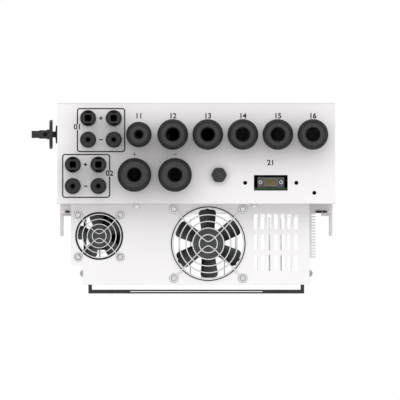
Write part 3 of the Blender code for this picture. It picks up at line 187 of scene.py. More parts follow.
def extruded_aluminium():
    """Bright drawn sides with lines along the extrusion, and matt sawn ends."""
    made = surface("extruded_aluminium", (0.90, 0.90, 0.905), 0.16, metallic=1.0, vary=0.09, scale=220.0,
                   stretch=(1, 1, 0.02))
    tree = made.node_tree
    roughness = tree.nodes["Principled BSDF"].inputs["Roughness"]
    drawn = roughness.links[0].from_socket
    sawn = add_range(tree, add_math(tree, "ABSOLUTE", add_facing(tree)), 0.6, 0.9, 0.0, 0.5)
    tree.links.new(add_math(tree, "ADD", drawn, sawn), roughness)
    return made


FINISH = {
    "paint": surface("white_paint", (0.800, 0.777, 0.784), 0.46, specular=0.3, vary=0.012, scale=9.0,
                     grain=0.000012, grain_scale=1100.0),
    # The glands' and sockets' colours are painted lighter where they look down: painted light from below, not
    # a tone of the plastic
    "gland": surface("gland_polyamide_painted_light", (0.0182, 0.0174, 0.0175), 0.58, specular=0.16, vary=0.16, scale=160.0,
                     lift=2.4),
    "socket": surface("socket_plastic_painted_light", (0.017, 0.017, 0.0175), 0.55, specular=0.16, vary=0.16, scale=220.0,
                      lift=2.0),
    "fan": surface("fan_plastic", (0.080, 0.087, 0.084), 0.55, specular=0.2, vary=0.14, scale=120.0),
    "knob": surface("knob_plastic", (0.026, 0.026, 0.027), 0.44, specular=0.35, vary=0.14, scale=140.0),
    "rubber": surface("seal_rubber", (0.010, 0.010, 0.010), 0.78, specular=0.2, vary=0.25, scale=300.0,
                      grain=0.00004),
    "wire": surface("guard_wire", (0.95, 0.95, 0.955), 0.20, metallic=1.0, vary=0.06, scale=90.0),
    "zinc": surface("zinc_screw", (0.94, 0.94, 0.945), 0.20, metallic=1.0, vary=0.05, scale=240.0,
                    tint=(0.95, 0.945, 0.925)),
    "steel": surface("plain_steel", (0.42, 0.42, 0.425), 0.30, metallic=1.0, vary=0.10, scale=240.0),
    "dark_steel": surface("dark_steel", (0.05, 0.05, 0.052), 0.40, metallic=0.7, vary=0.2, scale=200.0),
    "bracket": surface("grey_steel", (0.040, 0.040, 0.042), 0.50, specular=0.4, vary=0.18, scale=35.0,
                       grain=0.00003, grain_scale=600.0),
    "aluminium": extruded_aluminium(),
    # Near-black, darker than the rubber: painted shade down the sockets' bores, and the glands' black seals
    # drawn as shade down their holes
    "throat": surface("black_and_painted_shade", (0.004, 0.004, 0.004), 0.8, specular=0.1, vary=0.3, scale=300.0),
    "insert": surface("port_insert", (0.22, 0.215, 0.11), 0.5, specular=0.3, vary=0.2, scale=500.0),
    "nickel": surface("nickel_shell", (0.15, 0.145, 0.14), 0.40, metallic=0.8, vary=0.08, scale=300.0),
    "gold": surface("gold_contact", (0.62, 0.44, 0.13), 0.30, metallic=1.0, vary=0.08, scale=500.0),
    "ink": surface("printed_ink", (0.012, 0.012, 0.013), 0.60, specular=0.3, vary=0.15, scale=400.0),
    "lens": surface("display_lens", (0.010, 0.012, 0.015), 0.10, vary=0.2, scale=25.0, grain=0.000002),
    "key": surface("key_rubber", (0.055, 0.057, 0.060), 0.62, specular=0.3, vary=0.12, scale=260.0),
    "black": surface("black_plastic", (0.012, 0.012, 0.013), 0.50, specular=0.3, vary=0.2, scale=150.0),
    "screen": surface("display_screen", (0.16, 0.20, 0.17), 0.35, vary=0.06, scale=40.0, grain=0.000004),
    "run_light": surface("green_light", (0.03, 0.42, 0.10), 0.22, vary=0.12, scale=400.0, grain=0.000004),
    "alarm_light": surface("red_light", (0.48, 0.03, 0.02), 0.22, vary=0.12, scale=400.0, grain=0.000004),
    "board": circuit_board(),
}


# Outlines

def along(axis, u, v, w):
    """A point from two coordinates across an axis and one along it."""
    return Vector({"X": (w, u, v), "Y": (u, w, v), "Z": (u, v, w)}[axis])


def arc(u, v, radius, start, end, steps):
    """Points on an arc, from one angle to another in degrees."""
    turns = [math.radians(start + (end - start) * i / steps) for i in range(steps + 1)]
    return [(u + radius * math.cos(turn), v + radius * math.sin(turn)) for turn in turns]


def circle(u, v, radius, sides=ROUND):
    return arc(u, v, radius, 0, 360, sides)[:-1]


def corners_of(low, high):
    """Corners of a rectangle, anticlockwise from the lower left."""
    return [(low[0], low[1]), (high[0], low[1]), (high[0], high[1]), (low[0], high[1])]


def rounded(u0, v0, u1, v1, radius, steps=6):
    """Outline of a rectangle with round corners."""
    points = arc(u0 + radius, v0 + radius, radius, 180, 270, steps)
    points += arc(u1 - radius, v0 + radius, radius, 270, 360, steps)
    points += arc(u1 - radius, v1 - radius, radius, 0, 90, steps)
    return points + arc(u0 + radius, v1 - radius, radius, 90, 180, steps)


def hexagon(flats, corner):
    """Radius of a hexagon with its corners turned off, by angle."""
    sixth = math.pi / 3
    return lambda turn: min(corner, flats / 2 / math.cos(turn % sixth - sixth / 2))


def hexagonal(flats, corner, beyond=0.0):
    """A shape for add_turned that keeps what lies beyond a radius inside a hexagon."""
    inside = hexagon(flats, corner)
    return lambda radius, level, turn: min(radius, inside(turn)) if radius > beyond else radius


def squarish(half):
    """Radius of a square with well-rounded corners, by angle."""
    return lambda turn: half / (abs(math.cos(turn)) ** 5 + abs(math.sin(turn)) ** 5) ** 0.2


def cross_recess(reach, width):
    """Radius of a cross, by angle."""
    quarter = math.pi / 2

    def radius(turn):
        turn = abs((turn + quarter / 2) % quarter - quarter / 2)
        return min(reach / math.cos(turn), width / 2 / max(math.sin(turn), 1e-6))
    return radius


# Shapes

def add_turned(bm, profile, centre, axis="Z", sides=SMOOTH, shape=None):
    """Turns (radius, place) points about an axis. A shape gives each radius by its angle."""
    rings = []
    for radius, place in profile:
        ring = []
        for i in range(sides if radius > 0 else 1):
            turn = 2 * math.pi * i / sides
            reach = shape(radius, place, turn) if shape else radius
            spot = along(axis, reach * math.cos(turn), reach * math.sin(turn), place)
            ring.append(bm.verts.new(Vector(centre) + spot))
        rings.append(ring)
    loops = list(zip(rings, rings[1:]))
    if profile[0][0] > 0:
        loops.append((rings[-1], rings[0]))
    for first, second in loops:
        for i in range(sides):
            j = (i + 1) % sides
            corners = [first[i % len(first)], first[j % len(first)]]
            corners += [second[j % len(second)], second[i % len(second)]]
            bm.faces.new(list(dict.fromkeys(corners)))


def add_ring(bm, radius, wire, centre, sides):
    """A ring of round wire."""
    add_turned(bm, [(radius + u, w) for u, w in circle(0, 0, wire / 2, WIRE_SIDES)], centre, sides=sides)


def add_band(bm, first, second):
    """Faces between two closed rows of vertices."""
    for i, vertex in enumerate(first):
        j = (i + 1) % len(first)
        bm.faces.new((vertex, first[j], second[j], second[i]))


def across_path(path, i):
    """Unit vector across a flat path at one of its points."""
    ahead = path[min(i + 1, len(path) - 1)] - path[max(i - 1, 0)]
    return ahead.normalized().cross(Vector((0, 0, 1)))


def add_tube(bm, path, radius):
    """A round wire along a flat path of points, closed at both ends."""
    up = Vector((0, 0, 1))
    rings = []
    for i, point in enumerate(path):
        side = across_path(path, i)
        rings.append([bm.verts.new(point + side * u + up * v) for u, v in circle(0, 0, radius, WIRE_SIDES)])
    for first, second in zip(rings, rings[1:]):
        add_band(bm, first, second)
    bm.faces.new(rings[0])
    bm.faces.new(rings[-1])


def add_prism(bm, outline, low, high, axis="Z"):
    """Extrudes an outline, given across the axis, from low to high along it."""
    lower = [bm.verts.new(along(axis, u, v, low)) for u, v in outline]
    upper = [bm.verts.new(along(axis, u, v, high)) for u, v in outline]
    bm.faces.new(lower)
    bm.faces.new(upper)
    add_band(bm, lower, upper)


def add_eased_box(bm, low, high, ease=EASE, steps=2, choose=lambda edge: True):
    """A box with its chosen edges rounded."""
    grown = bmesh.new()
    add_prism(grown, corners_of(low, high), low[2], high[2])
    bmesh.ops.recalc_face_normals(grown, faces=grown.faces)
    edges = [edge for edge in grown.edges if choose(edge)]
    bmesh.ops.bevel(grown, geom=edges, offset=ease, segments=steps, profile=0.5, affect="EDGES")
    join_mesh(bm, grown)


def join_mesh(bm, other):
    """Adds a second mesh to the first and frees it."""
    mesh = bpy.data.meshes.new("joined")
    other.to_mesh(mesh)
    other.free()
    bm.from_mesh(mesh)
    bpy.data.meshes.remove(mesh)


def add_object(name, data):
    made = bpy.data.objects.new(name, data)
    bpy.context.scene.collection.objects.link(made)
    return made


def final_mesh(made):
    """The mesh that an object's curve or modifiers make."""
    graph = bpy.context.evaluated_depsgraph_get()
    return bpy.data.meshes.new_from_object(made.evaluated_get(graph))


def curve_mesh(curve):
    """The mesh that a curve makes, in place of the curve."""
    holder = add_object("holder", curve)
    mesh = final_mesh(holder)
    made = bmesh.new()
    made.from_mesh(mesh)
    bpy.data.objects.remove(holder)
    bpy.data.meshes.remove(mesh)
    bpy.data.curves.remove(curve)
    return made


def add_sheet(bm, outlines, low, high, ease=EASE, axis="Z"):
    """A flat sheet with eased edges: the first outline is its rim and the others are holes."""
    curve = bpy.data.curves.new("sheet", "CURVE")
    curve.dimensions = "2D"
    curve.fill_mode = "BOTH"
    curve.extrude = (high - low) / 2 - ease
    curve.bevel_depth = ease
    curve.bevel_resolution = 2
    curve.offset = -ease
    for outline in outlines:
        spline = curve.splines.new("POLY")
        spline.points.add(len(outline) - 1)
        for point, (u, v) in zip(spline.points, outline):
            point.co = (u, v, 0, 1)
        spline.use_cyclic_u = True
    made = curve_mesh(curve)
    middle = (low + high) / 2
    for vertex in made.verts:
        vertex.co = along(axis, vertex.co.x, vertex.co.y, vertex.co.z + middle)
    bmesh.ops.remove_doubles(made, verts=made.verts, dist=1e-6)
    join_mesh(bm, made)


# Pieces

def outward_mesh(bm, name):
    """A mesh whose faces look outward, in place of the one that is being built."""
    bmesh.ops.recalc_face_normals(bm, faces=bm.faces)
    mesh = bpy.data.meshes.new(name)
    bm.to_mesh(mesh)
    bm.free()
    return mesh


def smooth(made):
    """Smooth shading between sharp edges."""
    made.data.shade_smooth()
    made.data.set_sharp_from_angle(angle=SHARP)
    made.modifiers.new("Even shading", "WEIGHTED_NORMAL").keep_sharp = True


def place(name, bm, finish, slot, replaces=(), body="housing"):
    """Makes a mesh into a piece that rides on a body and takes a finish."""
    made = add_object(name, outward_mesh(bm, name))
    made.data.materials.append(FINISH[finish])
    smooth(made)
    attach(made, body)
    if replaces:
        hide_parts(*replaces)
    return made


def place_turned(name, profile, centre, finish, slot, replaces=(), body="housing", **turning):
    """A piece turned from one profile."""
    bm = bmesh.new()
    add_turned(bm, profile, centre, **turning)
    return place(name, bm, finish, slot, replaces, body)


def place_sheet(name, outlines, low, high, finish, slot, replaces=(), ease=EASE, axis="Z"):
    """A piece that is one flat sheet."""
    bm = bmesh.new()
    add_sheet(bm, outlines, low, high, ease, axis)
    return place(name, bm, finish, slot, replaces)


def carve(made, bm):
    """Cuts a mesh out of a piece for good."""
    cutter = add_object("cutter", outward_mesh(bm, "cutter"))
    made.modifiers.clear()
    boolean = made.modifiers.new("Cut", "BOOLEAN")
    boolean.operation = "DIFFERENCE"
    boolean.solver = "EXACT"
    boolean.object = cutter
    result = final_mesh(made)
    made.modifiers.clear()
    old = made.data
    made.data = result
    result.name = made.name
    bpy.data.meshes.remove(old)
    bpy.data.objects.remove(cutter)
    smooth(made)


# The solids' own places and sizes

def points_of(node):
    return [vertex.co for vertex in NODES[node].data.vertices]


def middle_of(node):
    low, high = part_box(node)
    return (low + high) / 2


def axis_of(node):
    """Where a node's upright axis meets the level of the origin."""
    middle = middle_of(node)
    return Vector((middle.x, middle.y, 0))


def radius_of(node):
    """Half the width of a node that is round about Z."""
    low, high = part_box(node)
    return (high.x - low.x) / 2


def radii_at(node, z):
    """Least and greatest distance from a round node's middle of its corners at one height."""
    middle = middle_of(node)
    reach = [(point - middle).xy.length for point in points_of(node) if abs(point.z - z) < EASE]
    return min(reach), max(reach)


def foot_radii(node):
    return radii_at(node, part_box(node)[0].z)


def top_radius(node):
    return radii_at(node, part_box(node)[1].z)[1]


def second_level(node):
    """Height of the lowest corners above a node's foot."""
    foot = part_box(node)[0].z + EASE
    return min(point.z for point in points_of(node) if point.z > foot)


PANEL_LOW, PANEL_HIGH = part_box("gland_plate")
PANEL_Z = PANEL_LOW.z
PLUG_HEIGHT = 0.008
SEAT = PANEL_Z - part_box("vent_plug")[0].z - PLUG_HEIGHT  # gap that pieces keep to what they rest on


# Stage

def make_camera():
    """Straight up at the underside from far below, with the wall side at the picture's foot."""
    data = bpy.data.cameras.new("camera")
    data.sensor_width = SENSOR
    data.lens = LENS
    distance = PHOTO_PIXELS * PIXEL * LENS / SENSOR
    data.clip_start = 0.1
    data.clip_end = 2 * distance
    camera = add_object("camera", data)
    x, y = [(PHOTO_PIXELS / 2 - pixel) * PIXEL for pixel in ORIGIN_PIXEL]
    camera.location = (x, y, PANEL_Z - distance)
    camera.rotation_euler = (math.pi, 0, 0)
    bpy.context.scene.camera = camera


def make_sky():
    """Soft light from all round, stronger from one side, and white to look at."""
    world = bpy.data.worlds.new("studio")
    world.use_nodes = True
    tree = world.node_tree
    tree.nodes.clear()
    direction = add_node(tree, "TexCoord").outputs["Generated"]
    upright = add_node(tree, "SeparateXYZ", {"Vector": direction}).outputs["Z"]
    height = add_math(tree, "ABSOLUTE", upright)
    below, above = [add_ramp(tree, height, *((at, [level / SKY_PEAK] * 3) for at, level in stops))
                    for stops in (SKY_BELOW, SKY_ABOVE)]
    over = add_math(tree, "GREATER_THAN", upright)
    ring = add_node(tree, "Mix", {0: over, 2: below, 3: above}, data_type="FLOAT").outputs[0]
    side = Vector((*SKY_SIDE, 0)).normalized()
    facing = add_node(tree, "VectorMath", {0: direction, 1: side}, operation="DOT_PRODUCT").outputs["Value"]
    slant = add_math(tree, "MULTIPLY", facing, add_math(tree, "MINIMUM", upright))
    tilt = add_range(tree, slant, 0.5, -0.5, SKY_PEAK * (1 - SKY_TILT), SKY_PEAK * (1 + SKY_TILT))
    strength = add_math(tree, "MULTIPLY", ring, tilt)
    light = add_node(tree, "Background", {"Color": (1, 1, 1, 1), "Strength": strength})
    shown = add_node(tree, "Background", {"Color": (1, 1, 1, 1), "Strength": 1.0})
    path = add_node(tree, "LightPath").outputs
    seen = add_math(tree, "MAXIMUM", path["Is Camera Ray"], path["Is Transmission Ray"])
    seen = add_math(tree, "MAXIMUM", seen, path["Is Glossy Ray"])
    mixed = add_node(tree, "MixShader", {0: seen, 1: light.outputs[0], 2: shown.outputs[0]})
    add_node(tree, "OutputWorld", {"Surface": mixed.outputs[0]})
    bpy.context.scene.world = world


def make_floor():
    """Pale floor well below the wall-hung case, clear from underneath and to the soft light."""
    half = FLOOR_SIZE / 2
    corners = [(x, y, PANEL_Z - FLOOR_BELOW) for x, y in corners_of((-half, -half), (half, half))]
    mesh = bpy.data.meshes.new("floor")
    mesh.from_pydata(corners, [], [(0, 1, 2, 3)])
    finish = bpy.data.materials.new("floor")
    finish.use_nodes = True
    tree = finish.node_tree
    tree.nodes.clear()
    dark, light = [(level, level, level) for level in FLOOR_TONES]
    tone = add_ramp(tree, add_noise(tree, 0.6), (NOISE_LOW, dark), (NOISE_HIGH, light))
    matt = add_node(tree, "BsdfDiffuse", {"Color": tone})
    clear = add_node(tree, "BsdfTransparent")
    under = add_node(tree, "NewGeometry").outputs["Backfacing"]
    path = add_node(tree, "LightPath").outputs
    soft = add_math(tree, "MAXIMUM", path["Is Diffuse Ray"], path["Is Shadow Ray"])
    hidden = add_math(tree, "MAXIMUM", under, soft)
    mixed = add_node(tree, "MixShader", {0: hidden, 1: matt.outputs[0], 2: clear.outputs[0]})
    add_node(tree, "OutputMaterial", {"Surface": mixed.outputs[0]})
    mesh.materials.append(finish)
    add_object("floor", mesh)


def make_duct_light():
    """Strip of soft light in the duct, on the undersides behind the fans."""
    data = bpy.data.lights.new("duct_light", "AREA")
    data.shape = "RECTANGLE"
    plate_low, plate_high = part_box("duct_plate")
    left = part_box("choke_block")[1].x + DUCT_LIGHT_INSET[0]
    right = plate_high.x - DUCT_LIGHT_INSET[1]
    data.size = right - left
    data.size_y = DUCT_LIGHT_DEPTH
    data.energy = DUCT_LIGHT
    data.spread = DUCT_LIGHT_SPREAD
    light = add_object("duct_light", data)
    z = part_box("large_fan_frame")[1].z + DUCT_LIGHT_ABOVE_FAN
    light.location = ((left + right) / 2, plate_low.y + DUCT_LIGHT_FROM_FRONT, z)
    light.rotation_euler = (math.pi, 0, 0)
    light.visible_camera = False


# Fasteners

def add_screw(bm, spot, axis, way, radius, rise_share):
    """A round screw head with a cross recess, standing out from its spot along an axis."""
    height = rise_share * radius
    recess = 0.60 * radius
    cross = cross_recess(0.50 * radius, 0.18 * radius)
    profile = [(0, 0), (0.5 * radius, 0), (radius, 0)]
    for degrees in range(0, 60, 15):
        turn = math.radians(degrees)
        profile.append((radius * math.cos(turn), height * (0.35 + 0.65 * math.sin(turn))))
    profile += [(0.66 * radius, 0.97 * height), (recess, 0.97 * height), (recess, 0.45 * height)]
    profile.append((0, 0.40 * height))

    def shape(reach, level, turn):
        return min(reach, cross(turn)) if level and reach <= recess else reach
    add_turned(bm, [(reach, way * level) for reach, level in profile], spot, axis, ROUND, shape)


# Underside of the wiring box

AC_GLANDS = [f"ac_gland_{i}" for i in range(1, 6)]
GLANDS = ["data_gland", *AC_GLANDS, "battery_gland_plus", "battery_gland_minus"]
SOCKETS = [f"pv_{group}_{pole}_{row}" for group in (1, 2) for pole in ("plus", "minus") for row in "ab"]
SMALL_HOLE = 0.0060
HOLE_BESIDE_PORT = 0.0133
GROUND_HOLE = (0.0315, 0.0166)  # from the panel's right and rear edges
PANEL_CORNER = 0.005
PORT_MARGINS = (0.0053, 0.0029, 0.0053, 0.0045)  # window past the port's flange: left, front, right, rear


def port_window():
    """Left, front, right and rear edge of the data port's window."""
    low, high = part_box("comm_port")
    left, front, right, rear = PORT_MARGINS
    return low.x - left, low.y - front, high.x + right, high.y + rear


def make_panel():
    """Gland panel with its bores, the port's window and three small holes."""
    outline = arc(PANEL_LOW.x + EASE, PANEL_LOW.y + EASE, EASE, 180, 270, 2)
    outline += arc(PANEL_HIGH.x - EASE, PANEL_LOW.y + EASE, EASE, 270, 360, 2)
    outline += arc(PANEL_HIGH.x - PANEL_CORNER, PANEL_HIGH.y - PANEL_CORNER, PANEL_CORNER, 0, 90, 8)
    outline += arc(PANEL_LOW.x + PANEL_CORNER, PANEL_HIGH.y - PANEL_CORNER, PANEL_CORNER, 90, 180, 8)
    holes = []
    for node in [f"{gland}_body" for gland in GLANDS] + SOCKETS + ["vent_plug"]:
        spot = axis_of(node)
        holes.append(circle(spot.x, spot.y, top_radius(node) + SEAT))
    left, front, right, rear = port_window()
    holes.append(rounded(left, front, right, rear, EASE, 2))
    middle = (front + rear) / 2
    for x, y in ((left - HOLE_BESIDE_PORT, middle), (right + HOLE_BESIDE_PORT, middle),
                 (PANEL_HIGH.x - GROUND_HOLE[0], PANEL_HIGH.y - GROUND_HOLE[1])):
        holes.append(circle(x, y, SMALL_HOLE / 2))
    place_sheet("gland_panel", [outline, *holes], PANEL_Z, PANEL_HIGH.z, "paint", "white_paint",
                ["gland_plate"])


NUT_WALL = 0.004
NUT_GRIPS = 28
NUT_GRIP_DEPTH = 0.0007
NUT_SHOULDER = 0.0115  # smooth part of the nut, from its end
NUT_NECK = (0.0009, 0.0010, 0.0016)  # groove below the grips: its depth, its floor's end and its own end
NUT_BEVEL = ((1.0, 1.0), (0.90, 0.74), (0.76, 0.50), (0.60, 0.30), (0.46, 0.16))  # across and along it
NUT_BEVEL_RISE = 1.2
NUT_BEAD = 0.0003
NUT_BEAD_AT = 0.40  # as a share of the bevel
NUT_MOUTH = ((0.0012, 0), (0.0003, 0.001), (0, 0.002))  # out from the hole and up from the face
NUT_GROOVE = 0.0014
SEAL_WALL = 0.0013
SEAL_DEPTH = 0.0025
SEAL_LENGTH = 0.050
FLANGE_FLATS = 0.93  # across the flats, as a share of the flange
FLANGE_EASE = 0.001
LOCK_NUT_WALL = 0.0035
LOCK_NUT_FLATS = 0.005
LOCK_NUT_HEIGHT = 0.004


def make_gland_nut(gland):
    """Dome nut with grips, a bevelled shoulder and a thin bead round its face, and the seal in it, drawn
    near-black as painted shade down the hole.
    """
    node = f"{gland}_nut"
    low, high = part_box(node)
    outer = radius_of(node)
    hole, face = foot_radii(node)
    lip = second_level(node)
    inner, bevel = outer - NUT_WALL, outer - face
    rise = NUT_BEVEL_RISE * (lip - low.z)
    grip_end = low.z + NUT_SHOULDER
    bead = face + NUT_BEAD_AT * bevel
    groove = low.z + NUT_GROOVE
    profile = [(inner, high.z), (outer - EASE, high.z), (outer, high.z - EASE), (outer, grip_end + EASE)]
    depth, floor, end = NUT_NECK
    profile += [(outer - depth, grip_end), (outer - depth, grip_end - floor), (outer, grip_end - end)]
    profile += [(face + bevel * u, low.z + rise * v) for u, v in NUT_BEVEL]
    profile += [(bead, low.z - NUT_BEAD), (bead - NUT_BEAD, low.z - NUT_BEAD)]
    profile += [(bead - 2 * NUT_BEAD, groove), (face - NUT_BEAD, groove), (face - 2 * NUT_BEAD, low.z)]
    profile += [(hole + u, low.z + v) for u, v in NUT_MOUTH]
    profile += [(hole, lip), (inner, lip)]

    def grips(radius, level, turn):
        if radius < outer - EASE or level < grip_end:
            return radius
        return radius - NUT_GRIP_DEPTH * (0.5 - 0.5 * math.cos(NUT_GRIPS * turn))
    place_turned(f"{gland}_dome_nut", profile, axis_of(node), "gland", "dark_plastic", [node],
                 sides=6 * NUT_GRIPS, shape=grips)
    # The seal is real, but drawn near-black, darker than the rubber finish, to stand in for the shade down
    # the gland's hole: partly painted shade
    start = low.z + SEAL_DEPTH
    outside, inside = hole - EASE / 5, hole - SEAL_WALL
    ring = [(outside, start + EASE), (inside + EASE, start), (inside, start + EASE)]
    ring += [(inside, start + SEAL_LENGTH), (outside, start + SEAL_LENGTH)]
    place_turned(f"{gland}_seal", ring, axis_of(node), "throat", "seal_rubber")


def make_gland_body(gland):
    """Threaded body with a spanner flange and its gasket under the panel."""
    node = f"{gland}_body"
    low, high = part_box(node)
    bore, thread = foot_radii(node)
    neck, flange = top_radius(node), radius_of(node)
    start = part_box(f"{gland}_nut")[1].z + SEAT
    end = PANEL_Z - SEAT
    profile = [(bore, low.z), (thread, low.z), (thread, start), (flange - FLANGE_EASE, start)]
    profile += [(flange, start + FLANGE_EASE), (flange, end - FLANGE_EASE)]
    profile += [(flange - FLANGE_EASE, end - EASE), (neck, end - EASE), (neck, high.z), (bore, high.z)]
    spanner = hexagonal(2 * flange * FLANGE_FLATS, flange, flange - 1.1 * FLANGE_EASE)
    bm = bmesh.new()
    add_turned(bm, profile, axis_of(node), shape=spanner)
    inside, outside = neck + EASE / 2, flange * FLANGE_FLATS - EASE
    gasket = [(inside, end - EASE), (outside, end - EASE), (outside, end), (inside, end)]
    add_turned(bm, gasket, axis_of(node))
    place(f"{gland}_thread_body", bm, "gland", "dark_plastic", [node])


def make_lock_nuts():
    """Hexagon nuts on the glands' necks, inside the wiring box."""
    bm = bmesh.new()
    low = PANEL_HIGH.z + EASE
    for gland in GLANDS:
        node = f"{gland}_body"
        neck = top_radius(node) + EASE / 5
        outer = neck + LOCK_NUT_WALL
        ring = [(neck, low), (outer, low), (outer, low + LOCK_NUT_HEIGHT), (neck, low + LOCK_NUT_HEIGHT)]
        shape = hexagonal(2 * neck + LOCK_NUT_FLATS, outer, neck)
        add_turned(bm, ring, axis_of(node), sides=SMALL * 2, shape=shape)
    place("gland_lock_nuts", bm, "gland", "dark_plastic")


PV_COLLAR = 0.004
PV_STEP = 0.0006  # how far the socket's collar stands past its end
PV_TIP = 0.0012  # eased end of the socket
PV_RIM = 0.0022  # raised rim round the socket's end
PV_FOOT = 0.0002
PV_SLOPE = 0.0004
PV_RECESS = 0.0012
PV_THROAT = 0.001  # where the throat begins, above the recess
PLUS_KEY_HALF = 0.0045  # latch pockets of the plus sockets
PLUS_KEY_FROM = 0.0078
PLUS_KEY_DEPTH = 0.0028
PLUS_KEY_LENGTH = 0.008
PLUS_KEY_CORNER = 0.0007
PLUS_BORE_SHARE = 0.96
MINUS_STEP = 0.0021  # stepped rings round the minus sockets' bore
MINUS_RING = 0.0008


def make_socket(node):
    """PV socket: the plus ones have a keyed bore with latch pockets, the minus ones a stepped round bore."""
    low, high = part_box(node)
    spot = axis_of(node)
    outer, neck, bore = radius_of(node), top_radius(node), foot_radii(node)[0]
    deep = max(point.z for point in points_of(node)
               if (point - spot).xy.length < bore + EASE and point.z < high.z - EASE)
    plus = "_plus_" in node
    end, top = low.z, PANEL_Z - SEAT
    floor = end + PV_RECESS
    profile = [(0, high.z), (neck - EASE, high.z), (neck, high.z - EASE), (neck, top), (outer - EASE, top)]
    profile += [(outer, top - EASE), (outer, top - PV_COLLAR), (outer - PV_STEP, top - PV_COLLAR - EASE)]
    profile += [(outer - PV_STEP, end + PV_TIP), (outer - PV_TIP, end + PV_FOOT)]
    profile += [(outer - PV_TIP - PV_STEP, end), (outer - PV_RIM, end), (outer - PV_RIM - PV_SLOPE, floor)]
    if not plus:
        step = bore + MINUS_STEP
        profile += [(step + PV_SLOPE, floor), (step, end + EASE)]
        profile += [(step - MINUS_RING, end + EASE), (bore + MINUS_RING, floor)]
    profile += [(bore + EASE, floor), (bore, floor + EASE), (bore, deep), (0, deep)]
    square = squarish(bore * PLUS_BORE_SHARE)

    def keyed(radius, level, turn):
        if plus and 0 < radius <= bore + EASE and level > end:
            return radius / bore * square(turn)
        return radius
    made = place_turned(f"{node}_socket", profile, spot, "socket", "dark_plastic", [node], shape=keyed)
    # A thin near-black liner in the bore, where the real socket shows only shade: painted shade
    wall, inside, mouth = bore - SINK, bore - 4 * SINK, floor + PV_THROAT
    painted_shade_liner = [(0, deep), (wall, deep - SINK), (wall, mouth), (inside, mouth)]
    painted_shade_liner += [(inside, deep - 4 * SINK), (0, deep - 4 * SINK)]
    place_turned(f"{node}_throat", painted_shade_liner, spot, "throat", "black_plastic", shape=keyed)
    if plus:
        bm = bmesh.new()
        left, right = spot.x - PLUS_KEY_HALF, spot.x + PLUS_KEY_HALF
        for side in (-1, 1):
            reaches = (PLUS_KEY_FROM, PLUS_KEY_FROM + PLUS_KEY_DEPTH)
            near, far = sorted(spot.y + side * reach for reach in reaches)
            pocket = rounded(left, near, right, far, PLUS_KEY_CORNER, 3)
            add_prism(bm, pocket, end - EASE, end + PLUS_KEY_LENGTH)
        carve(made, bm)


PLUG_TURN_OFF = 0.92  # corners of the vent plug's hexagon, as a share of the sharp ones
PLUG_CAP = 0.0012
PLUG_BEVEL = ((0.93, 0.0004), (0.80, 0), (0, 0))  # share of the radius, and rise above the end


def make_vent_plug():
    """Breather plug: a plain hexagon with its corners turned off and a bevelled cap."""
    node = "vent_plug"
    low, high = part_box(node)
    corner, neck = radius_of(node), top_radius(node)
    outline = hexagon(corner * math.sqrt(3), corner * PLUG_TURN_OFF)
    top = PANEL_Z - SEAT
    profile = [(0, high.z), (neck - EASE, high.z), (neck, high.z - EASE), (neck, top), (corner - EASE, top)]
    profile += [(corner, top - EASE), (corner, low.z + PLUG_CAP)]
    profile += [(share * corner, low.z + rise) for share, rise in PLUG_BEVEL]

    def spanner(radius, level, turn):
        if level >= top + EASE:
            return radius
        return min(radius, outline(turn) * min(1.0, radius / corner + 0.06))
    place_turned("breather_plug", profile, axis_of(node), "gland", "dark_plastic", [node], shape=spanner)


PORT_SHELL = (0.0215, 0.0112)
PORT_TAPER = 0.001
PORT_CORNER = 0.0022
PORT_FLANGE = 0.001
PORT_FLANGE_CORNER = 0.0015
PORT_EASE = 0.0002
PORT_RUN = 0.0001  # gap round the insert
INSERT_INSET = (0.004, 0.001)  # block behind the flange, from its side and front edges
INSERT_ENDS = (0.0008, 0.001)  # its face before the flange, and its end before the port's
SHELL_EASE = 0.00015
SHELL_WALL = 0.0006
JACK_SPAN = 0.0314
JACK = 0.0062  # across the flats of a jack nut
JACK_BORE = 0.0017
JACK_LENGTH = 0.0045
PIN = 0.0014
PIN_PITCH = 0.00277
PIN_ROW = 0.0014
PIN_DEPTH = 0.0012


def shell_outline(spot, inset):
    """D-shaped outline: wide at the front, drawn in at the rear, with round corners."""
    wide, deep = PORT_SHELL[0] / 2 - inset, PORT_SHELL[1] / 2 - inset
    corner = PORT_CORNER - inset / 2
    drawn = wide - PORT_TAPER
    points = arc(spot.x - wide + corner, spot.y - deep + corner, corner, 170, 270, 6)
    points += arc(spot.x + wide - corner, spot.y - deep + corner, corner, 270, 370, 6)
    points += arc(spot.x + drawn - corner, spot.y + deep - corner, corner, 10, 90, 6)
    return points + arc(spot.x - drawn + corner, spot.y + deep - corner, corner, 90, 170, 6)


